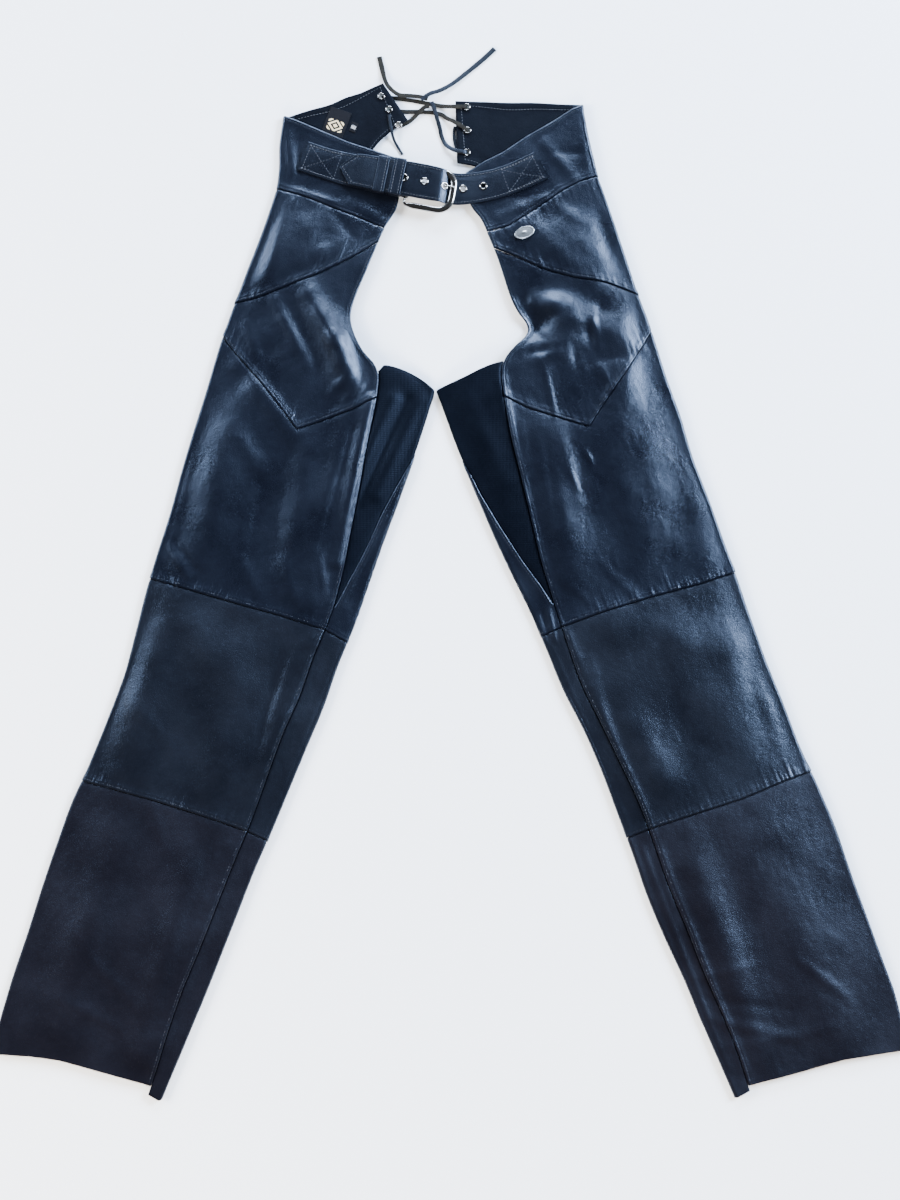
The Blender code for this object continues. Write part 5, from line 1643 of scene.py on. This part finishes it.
def stitch(name, lines, tree, thread, spacing=STITCH_SPACING, length=STITCH_LENGTH, radius=STITCH_RADIUS):
    """One mesh of all the stitches along the given lines."""
    verts, edges = [], []
    for line in lines:
        first = len(verts)
        verts += [tuple(p * MM) for p in np.asarray(line)]
        edges += [(k, k + 1) for k in range(first, len(verts) - 1)]
    wire = bpy.data.meshes.new(name)
    wire.from_pydata(verts, edges, [])
    source = place_object(f"{name}_lines", wire)
    modifier = source.modifiers.new("stitches", "NODES")
    modifier.node_group = tree
    values = {"Spacing": spacing * MM, "Length": length * MM, "Radius": radius * MM, "Thread": thread}
    for item in tree.interface.items_tree:
        if item.item_type == "SOCKET" and item.in_out == "INPUT" and item.name in values:
            modifier[item.identifier] = values[item.name]
    depsgraph = bpy.context.evaluated_depsgraph_get()
    mesh = bpy.data.meshes.new_from_object(source.evaluated_get(depsgraph), depsgraph=depsgraph)
    lift_off_floor(mesh)
    bpy.data.objects.remove(source, do_unlink=True)
    obj = place_object(name, mesh)
    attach(obj, "root")
    return obj


def seam_lines(leg):
    """Stitch lines just above each seam, beside the inner seam and round the free edges."""
    lines = []
    sunk = -0.12
    for name, last in CROSS_SEAMS:
        stations = np.concatenate([np.linspace(0.02, 1, 90), np.linspace(1.05, 2, 12), np.linspace(2.1, 2.97, 10)])
        cosine = leg.slant(name, straight(leg.seams[name], stations), stations)
        down = straight(leg.seams[name], stations) - STITCH_INSET / cosine
        cut = "yoke" if name == "waist" else "front"
        keep = stations < 2 if name == "waist" else stations < 3
        lines.append(leg.skin(cut, down[keep], stations[keep], sunk))
        if last == 6:
            stations = np.linspace(3.05, 5.9, 90)
            down = straight(leg.seams[name], stations) - STITCH_INSET
            lines.append(leg.skin("back", down, stations, sunk))
    down = np.arange(6.0, float(straight(leg.seams["hem"], 0)) - 3, 3.0)
    station = STITCH_INSET / (leg.edge(down) - leg.outer(down))
    lines.append(leg.skin("front", down, station, sunk))
    down = np.arange(float(straight(leg.seams["top_edge"], 0)) + 3, 0, 3.0)
    station = STITCH_INSET / (leg.edge(down) - leg.outer(down))
    lines.append(leg.skin("yoke", down, station, sunk))
    stations = np.linspace(0.03, 1.9, 110)
    lines.append(leg.skin("yoke", straight(leg.seams["top_edge"], stations) + STITCH_INSET, stations, sunk))
    down = np.arange(leg.gusset[0][0] + 4, leg.gusset[-1][0] - 2, 3.0)
    station = leg.around(down, straight(leg.gusset, down) + STITCH_INSET)
    lines.append(leg.skin("back", down, station, sunk))
    parts = np.linspace(0.04, 0.955, 70)
    for share in (0.07, 0.93):
        inside = back_yoke_point(leg, parts, share + 0 * parts)
        inside[:, 2] += HALF + 0.45
        lines.append(inside)
    shares = np.linspace(0.08, 0.92, 24)
    inside = back_yoke_point(leg, 0.955 + 0 * shares, shares)
    inside[:, 2] += HALF + 0.45
    lines.append(inside)
    return lines


# ---------- finishes

class Tree:
    """Short way to add and join shader nodes."""

    def __init__(self, tree):
        self.tree = tree

    def add(self, kind, links=None, **values):
        node = self.tree.nodes.new(kind)
        for key, value in values.items():
            setattr(node, key, value)
        for socket, source in (links or {}).items():
            target = node.inputs[socket]
            if isinstance(source, bpy.types.NodeSocket):
                self.tree.links.new(source, target)
            else:
                target.default_value = source
        return node

    def math(self, operation, a, b=0.0):
        return self.add("ShaderNodeMath", {0: a, 1: b}, operation=operation).outputs[0]

    def between(self, value, low, high, to_low, to_high):
        node = self.add("ShaderNodeMapRange", {
            "Value": value, "From Min": low, "From Max": high, "To Min": to_low, "To Max": to_high,
        })
        return node.outputs["Result"]

    def mix(self, share, a, b):
        node = self.add("ShaderNodeMix", data_type="RGBA")
        for name, source in (("Factor", share), ("A", a), ("B", b)):
            socket = next(s for s in node.inputs if s.enabled and s.name == name)
            if isinstance(source, bpy.types.NodeSocket):
                self.tree.links.new(source, socket)
            else:
                socket.default_value = source
        return next(s for s in node.outputs if s.enabled)


def effect(name, inputs, outputs):
    """Empty shader group with named sockets."""
    tree = bpy.data.node_groups.new(name, "ShaderNodeTree")
    for label, kind, value in inputs:
        add_socket(tree, label, kind).default_value = value
    for label, kind in outputs:
        add_socket(tree, label, kind, "OUTPUT")
    start, end = tree.nodes.new("NodeGroupInput"), tree.nodes.new("NodeGroupOutput")
    return Tree(tree), start.outputs, end.inputs


def leather_skin():
    """Grain, creasing and uneven dye of smooth black leather."""
    t, given, out = effect(
        "leather_skin",
        [("Dark", "NodeSocketColor", (0.01, 0.011, 0.014, 1)), ("Worn", "NodeSocketColor", (0.02, 0.022, 0.028, 1)),
         ("Gloss", "NodeSocketFloat", 0.45), ("Grain", "NodeSocketFloat", 750.0), ("Creasing", "NodeSocketFloat", 0.6)],
        [("Color", "NodeSocketColor"), ("Roughness", "NodeSocketFloat"), ("Height", "NodeSocketFloat")],
    )
    place = t.add("ShaderNodeTexCoord").outputs["Object"]
    bend = t.add("ShaderNodeTexNoise", {"Vector": place, "Scale": 180.0, "Detail": 2.0}).outputs["Color"]
    bent = t.add("ShaderNodeVectorMath", {0: bend, 1: (0.0012, 0.0012, 0.0012)}, operation="MULTIPLY").outputs[0]
    moved = t.add("ShaderNodeVectorMath", {0: place, 1: bent}, operation="ADD").outputs[0]
    pebble = t.add("ShaderNodeTexVoronoi", {"Vector": moved, "Scale": given["Grain"]}, feature="SMOOTH_F1")
    pore = t.between(pebble.outputs["Distance"], 0.15, 0.75, 1.0, 0.0)
    fine = t.add("ShaderNodeTexNoise", {"Vector": place, "Scale": 120.0, "Detail": 5.0, "Roughness": 0.62}).outputs[0]
    broad = t.add("ShaderNodeTexNoise", {"Vector": place, "Scale": 17.0, "Detail": 4.0}).outputs[0]
    folded = t.math("MULTIPLY", fine, given["Creasing"])
    t.tree.links.new(t.math("ADD", t.math("MULTIPLY", pore, 0.45), t.math("MULTIPLY", folded, 2.4)), out["Height"])
    tone = t.between(t.math("ADD", t.math("MULTIPLY", fine, 0.5), broad), 0.45, 1.1, 0.0, 1.0)
    t.tree.links.new(t.mix(tone, given["Dark"], given["Worn"]), out["Color"])
    rough = t.math("ADD", given["Gloss"], t.between(broad, 0.3, 0.7, -0.05, 0.06))
    t.tree.links.new(t.math("ADD", rough, t.math("MULTIPLY", pore, -0.05)), out["Roughness"])
    return t.tree


def nap_skin():
    """Short nap: soft speckled colour and a fuzzy height."""
    t, given, out = effect(
        "nap",
        [("Dark", "NodeSocketColor", (0.05, 0.04, 0.03, 1)), ("Light", "NodeSocketColor", (0.1, 0.08, 0.06, 1)),
         ("Scale", "NodeSocketFloat", 900.0)],
        [("Color", "NodeSocketColor"), ("Height", "NodeSocketFloat")],
    )
    place = t.add("ShaderNodeTexCoord").outputs["Object"]
    fuzz = t.add("ShaderNodeTexNoise", {"Vector": place, "Scale": given["Scale"], "Detail": 3.0}).outputs[0]
    patch = t.add("ShaderNodeTexNoise", {"Vector": place, "Scale": 160.0, "Detail": 3.0}).outputs[0]
    share = t.between(t.math("ADD", fuzz, patch), 0.75, 1.25, 0.0, 1.0)
    t.tree.links.new(t.mix(share, given["Dark"], given["Light"]), out["Color"])
    t.tree.links.new(fuzz, out["Height"])
    return t.tree


def knit_skin():
    """Fine ribs and loops of a stretch knit."""
    t, given, out = effect(
        "stretch_knit", [("Ribs", "NodeSocketFloat", 700.0)], [("Height", "NodeSocketFloat"), ("Tone", "NodeSocketFloat")],
    )
    place = t.add("ShaderNodeTexCoord").outputs["Object"]
    x, y, _ = t.add("ShaderNodeSeparateXYZ", {0: place}).outputs
    rib = t.math("SINE", t.math("MULTIPLY", x, t.math("MULTIPLY", given["Ribs"], 6.28)))
    loop = t.math("SINE", t.math("MULTIPLY", y, t.math("MULTIPLY", given["Ribs"], 4.1)))
    soft = t.add("ShaderNodeTexNoise", {"Vector": place, "Scale": 40.0, "Detail": 3.0}).outputs[0]
    height = t.math("ADD", t.math("MULTIPLY", rib, 0.5), t.math("MULTIPLY", loop, 0.3))
    t.tree.links.new(height, out["Height"])
    t.tree.links.new(soft, out["Tone"])
    return t.tree


def plain_material(name, colour, roughness, **sockets):
    material = bpy.data.materials.new(name)
    material.use_nodes = True
    shader = material.node_tree.nodes["Principled BSDF"]
    shader.inputs["Base Color"].default_value = (*colour, 1)
    shader.inputs["Roughness"].default_value = roughness
    for label, value in sockets.items():
        shader.inputs[label.replace("_", " ")].default_value = value
    material.diffuse_color = (*colour, 1)
    return material, Tree(material.node_tree), shader


def bumped(t, shader, height, strength, distance):
    bump = t.add("ShaderNodeBump", {"Height": height, "Strength": strength, "Distance": distance})
    t.tree.links.new(bump.outputs["Normal"], shader.inputs["Normal"])


def leather(name, dark, worn, gloss, grain=1300.0, creasing=0.6, shine=0.45):
    material, t, shader = plain_material(name, dark, gloss, Specular_IOR_Level=shine)
    # Specular Tint: painted blue reflection colour, standing in for the cool window light
    shader.inputs["Specular Tint"].default_value = (0.7, 0.81, 1.0, 1)
    skin = t.add("ShaderNodeGroup", node_tree=LEATHER_SKIN)
    for label, value in (("Dark", (*dark, 1)), ("Worn", (*worn, 1)), ("Gloss", gloss), ("Grain", grain), ("Creasing", creasing)):
        skin.inputs[label].default_value = value
    t.tree.links.new(skin.outputs["Color"], shader.inputs["Base Color"])
    t.tree.links.new(skin.outputs["Roughness"], shader.inputs["Roughness"])
    bumped(t, shader, skin.outputs["Height"], 0.7, 0.0004)
    return material


def napped(name, dark, light, scale=900.0, sheen=0.03):
    material, t, shader = plain_material(name, dark, 0.95, Sheen_Weight=sheen, Sheen_Roughness=0.5, Specular_IOR_Level=0.2)
    nap = t.add("ShaderNodeGroup", {"Dark": (*dark, 1), "Light": (*light, 1), "Scale": scale}, node_tree=NAP)
    t.tree.links.new(nap.outputs["Color"], shader.inputs["Base Color"])
    bumped(t, shader, nap.outputs["Height"], 0.8, 0.0005)
    return material


def knitted(name, colour):
    material, t, shader = plain_material(
        name, colour, 0.55, Sheen_Weight=0.005, Sheen_Roughness=0.3, Specular_IOR_Level=0.13,
    )
    # Sheen Tint and Specular Tint: painted bluish sheen and reflection colours, standing in for the cool window light
    shader.inputs["Sheen Tint"].default_value = (0.45, 0.52, 0.7, 1)
    shader.inputs["Specular Tint"].default_value = (0.55, 0.7, 1.0, 1)
    knit = t.add("ShaderNodeGroup", {"Ribs": 620.0}, node_tree=KNIT)
    rough = t.between(knit.outputs["Tone"], 0.3, 0.7, 0.4, 0.5)
    t.tree.links.new(rough, shader.inputs["Roughness"])
    bumped(t, shader, knit.outputs["Height"], 0.35, 0.0003)
    return material


def brushed_nickel(name, colour, smoothest):
    material, t, shader = plain_material(name, colour, smoothest, Metallic=1.0)
    place = t.add("ShaderNodeTexCoord").outputs["Object"]
    scuffs = t.add("ShaderNodeTexNoise", {"Vector": place, "Scale": 700.0, "Detail": 4.0}).outputs[0]
    t.tree.links.new(t.between(scuffs, 0.3, 0.7, smoothest, smoothest + 0.07), shader.inputs["Roughness"])
    return material


def woven(name, ground, figure):
    """Woven label: dark ground with a plain block of stripes and a lozenge."""
    material, t, shader = plain_material(name, ground, 0.85, Sheen_Weight=0.02, Specular_IOR_Level=0.1)
    place = t.add("ShaderNodeUVMap", uv_map="weave").outputs[0]
    u, v, _ = t.add("ShaderNodeSeparateXYZ", {0: place}).outputs
    off_u = t.math("ABSOLUTE", t.math("SUBTRACT", u, 0.5))
    off_v = t.math("ABSOLUTE", t.math("SUBTRACT", v, 0.52))
    block = t.math("MULTIPLY", t.math("LESS_THAN", off_u, 0.36), t.math("LESS_THAN", off_v, 0.17))
    reach = t.math("ADD", off_u, t.math("MULTIPLY", off_v, 1.9))
    rings = t.math("GREATER_THAN", t.math("SINE", t.math("MULTIPLY", reach, 26.0)), 0.0)
    pattern = t.math("MULTIPLY", block, rings)
    t.tree.links.new(t.mix(pattern, (*ground, 1), (*figure, 1)), shader.inputs["Base Color"])
    threads = t.math("SINE", t.math("MULTIPLY", v, 260.0))
    bumped(t, shader, threads, 0.4, 0.0002)
    return material


LEATHER_SKIN, NAP, KNIT = leather_skin(), nap_skin(), knit_skin()
# The dark hide colours are real; their blue lean is painted, a reflection tint standing in for the cool window light.
UPPER_LEATHER = leather("upper_leather", (0.0012, 0.0016, 0.0034), (0.0032, 0.0042, 0.0076), 0.32)
KNEE_LEATHER = leather("knee_leather", (0.0018, 0.0022, 0.0038), (0.004, 0.0047, 0.0073), 0.36)
SHIN_LEATHER = leather("shin_leather", (0.002, 0.0018, 0.003), (0.0042, 0.0038, 0.0058), 0.41)
# Inner face of the back yoke: its darker worn colour and low shine paint shade on it.
SHADED_INNER_LEATHER = leather("inner_leather_painted_shade", (0.0012, 0.0014, 0.0024), (0.0022, 0.0027, 0.0042), 0.62, 1300.0, 0.8, shine=0.06)
BELT_LEATHER = leather("belt_leather", (0.0014, 0.0018, 0.0034), (0.003, 0.0037, 0.006), 0.34, 1300.0, 0.3)
LACE_LEATHER = leather("lace_leather", (0.0015, 0.0015, 0.002), (0.0035, 0.0035, 0.004), 0.45, 1300.0, 0.5)
LACE_SUEDE = napped("lace_suede", (0.004, 0.0035, 0.0026), (0.016, 0.014, 0.0095))
RAW_EDGE = napped("raw_hem_edge", (0.16, 0.1, 0.06), (0.42, 0.3, 0.2), 1100.0)
# The dark knit colour is real; its blue lean is painted, a reflection tint standing in for the cool window light.
STRETCH_CLOTH = knitted("stretch_knit", (0.0007, 0.001, 0.002))
NICKEL = brushed_nickel("nickel", (0.4, 0.37, 0.33), 0.15)
BADGE_NICKEL = brushed_nickel("badge_nickel", (0.5, 0.49, 0.46), 0.3)
WOVEN_LABEL = woven("woven_label", (0.0035, 0.0035, 0.0045), (0.62, 0.5, 0.3))
TAG_CLOTH = woven("tag_cloth", (0.0035, 0.0035, 0.0045), (0.5, 0.5, 0.5))
SEAM_THREAD = plain_material("seam_thread", (0.02, 0.023, 0.031), 0.45, Sheen_Weight=0.2)[0]
HEM_FIBRE = plain_material("hem_fibre", (0.33, 0.23, 0.15), 0.9, Sheen_Weight=0.4)[0]


# ---------- hem

def fibre_tree():
    """Short loose fibres along a wire, pointing one way with a random lean."""
    tree = bpy.data.node_groups.new("hem_fibres", "GeometryNodeTree")
    add_socket(tree, "Geometry", "NodeSocketGeometry")
    add_socket(tree, "Spacing", "NodeSocketFloat")
    add_socket(tree, "Length", "NodeSocketFloat")
    add_socket(tree, "Lean", "NodeSocketVector")
    add_socket(tree, "Seed", "NodeSocketInt")
    add_socket(tree, "Fibre", "NodeSocketMaterial")
    add_socket(tree, "Geometry", "NodeSocketGeometry", "OUTPUT")
    nodes, link = tree.nodes, tree.links.new
    start, end = nodes.new("NodeGroupInput"), nodes.new("NodeGroupOutput")
    curve = nodes.new("GeometryNodeMeshToCurve")
    points = nodes.new("GeometryNodeCurveToPoints")
    points.mode = "LENGTH"
    wander = nodes.new("FunctionNodeRandomValue")
    wander.data_type = "FLOAT_VECTOR"
    wander.inputs["Min"].default_value = (-0.9, -0.9, -0.35)
    wander.inputs["Max"].default_value = (0.9, 0.9, 0.5)
    lean = nodes.new("ShaderNodeVectorMath")
    align = nodes.new("FunctionNodeAlignRotationToVector")
    align.axis = "Z"
    strand = nodes.new("GeometryNodeMeshCone")
    strand.inputs["Vertices"].default_value = 4
    strand.inputs["Radius Top"].default_value = 0.00004
    strand.inputs["Radius Bottom"].default_value = 0.00016
    reach = nodes.new("FunctionNodeRandomValue")
    reach.inputs[2].default_value = 0.4
    reach.inputs[3].default_value = 1.0
    size = nodes.new("ShaderNodeCombineXYZ")
    size.inputs["X"].default_value = 1
    size.inputs["Y"].default_value = 1
    place = nodes.new("GeometryNodeInstanceOnPoints")
    real = nodes.new("GeometryNodeRealizeInstances")
    finish = nodes.new("GeometryNodeSetMaterial")
    link(start.outputs["Geometry"], curve.inputs["Mesh"])
    link(curve.outputs["Curve"], points.inputs["Curve"])
    link(start.outputs["Spacing"], points.inputs["Length"])
    link(start.outputs["Seed"], wander.inputs["Seed"])
    link(start.outputs["Seed"], reach.inputs["Seed"])
    link(start.outputs["Lean"], lean.inputs[0])
    link(wander.outputs["Value"], lean.inputs[1])
    link(lean.outputs["Vector"], align.inputs["Vector"])
    link(align.outputs["Rotation"], place.inputs["Rotation"])
    link(points.outputs["Points"], place.inputs["Points"])
    link(start.outputs["Length"], strand.inputs["Depth"])
    link(strand.outputs["Mesh"], place.inputs["Instance"])
    link(reach.outputs[1], size.inputs["Z"])
    link(size.outputs["Vector"], place.inputs["Scale"])
    link(place.outputs["Instances"], real.inputs["Geometry"])
    link(real.outputs["Geometry"], finish.inputs["Geometry"])
    link(start.outputs["Fibre"], finish.inputs["Material"])
    link(finish.outputs["Geometry"], end.inputs["Geometry"])
    return tree


def hem_fibres(leg, tree):
    verts, edges = [], []
    front = np.linspace(0.01, 2.9, 220)
    back = np.linspace(3.1, 5.95, 200)
    for cut, seam, stations in (("front", "hem", front), ("back", "back_hem", back)):
        down = straight(leg.seams[seam], stations)
        for sunk in (-0.3, -1.1, -1.8):
            line = leg.skin(cut, down - 0.1, stations, sunk)
            first = len(verts)
            verts += [tuple(p * MM) for p in line]
            edges += [(k, k + 1) for k in range(first, len(verts) - 1)]
    wire = bpy.data.meshes.new("hem_wire")
    wire.from_pydata(verts, edges, [])
    source = place_object("hem_wire", wire)
    modifier = source.modifiers.new("fibres", "NODES")
    modifier.node_group = tree
    values = {
        "Spacing": 1.2 * MM, "Length": 2.2 * MM, "Lean": tuple(leg.down_axis), "Seed": leg.seed, "Fibre": HEM_FIBRE,
    }
    for item in tree.interface.items_tree:
        if item.item_type == "SOCKET" and item.in_out == "INPUT" and item.name in values:
            modifier[item.identifier] = values[item.name]
    depsgraph = bpy.context.evaluated_depsgraph_get()
    mesh = bpy.data.meshes.new_from_object(source.evaluated_get(depsgraph), depsgraph=depsgraph)
    lift_off_floor(mesh)
    bpy.data.objects.remove(source, do_unlink=True)
    obj = place_object(f"hem_fibres_{leg.name}", mesh)
    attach(obj, "root")


# ---------- stage

def camera():
    target = Vector((0.001, -0.0285, 0))
    rise = math.radians(84)
    data = bpy.data.cameras.new("camera")
    data.sensor_fit = "AUTO"
    data.sensor_width = 36
    data.lens = 52.17
    obj = place_object("camera", data)
    obj.location = target + 2.0 * Vector((0, -math.cos(rise), math.sin(rise)))
    obj.rotation_euler = (target - obj.location).to_track_quat("-Z", "Y").to_euler()
    bpy.context.scene.camera = obj


def floor():
    size = 4.0
    mesh = bpy.data.meshes.new("floor")
    mesh.from_pydata([(-size, -size, 0), (size, -size, 0), (size, size, 0), (-size, size, 0)], [], [[0, 1, 2, 3]])
    mesh.materials.append(plain_material("pale_floor", (0.9, 0.905, 0.91), 0.8)[0])
    obj = place_object("floor", mesh)


def area_light(name, spot, target, size, power, colour, mirrored=True):
    data = bpy.data.lights.new(name, "AREA")
    data.shape = "RECTANGLE"
    data.size, data.size_y = size
    data.energy = power
    data.color = colour
    obj = place_object(name, data)
    obj.visible_glossy = mirrored
    obj.location = spot
    obj.rotation_euler = (Vector(target) - Vector(spot)).to_track_quat("-Z", "Y").to_euler()


def lights():
    area_light("right_window", (3.0, 1.45, 1.8), (0, 0.0, 0), (1.8, 1.4), 760, (0.58, 0.73, 1.0))
    area_light("left_window", (-3.0, 2.0, 1.5), (0, 0.1, 0), (1.6, 1.2), 200, (0.58, 0.73, 1.0))
    area_light("top_window", (0.2, 3.9, 1.6), (0, 0.1, 0), (2.2, 1.2), 500, (0.58, 0.73, 1.0))
    area_light("left_fill", (-2.8, -0.2, 1.15), (0, 0, 0), (1.6, 1.0), 330, (1.0, 0.95, 0.88), mirrored=False)
    area_light("front_fill", (0.0, -3.0, 1.2), (0, -0.3, 0), (2.4, 0.9), 330, (1.0, 0.95, 0.88), mirrored=False)
    world = bpy.data.worlds.new("room")
    world.use_nodes = True
    shader = world.node_tree.nodes["Background"]
    shader.inputs["Color"].default_value = (0.9, 0.95, 1.0, 1)
    shader.inputs["Strength"].default_value = 0.06
    bpy.context.scene.world = world


camera()
floor()
lights()
lace()
stitch_rows, fibres = stitch_tree(), fibre_tree()
for leg_name, eyelets in (("right", RIGHT_LACE_EYELETS), ("left", LEFT_LACE_EYELETS)):
    leg = Leg(leg_name, LEGS[leg_name])
    thigh_back(leg)
    lower_backs(leg)
    gusset(leg)
    front_panels(leg)
    yoke(leg, eyelets)
    if leg_name == "right":
        cloth_patch("inside_label", leg, LABEL, WOVEN_LABEL)
        cloth_patch("size_tag", leg, SIZE_TAG, TAG_CLOTH)
    else:
        badge(leg)
    stitch(f"seam_stitches_{leg_name}", seam_lines(leg), stitch_rows, SEAM_THREAD)
    hem_fibres(leg, fibres)
stitch("belt_stitches", belt() + keepers(), stitch_rows, SEAM_THREAD)
buckle()
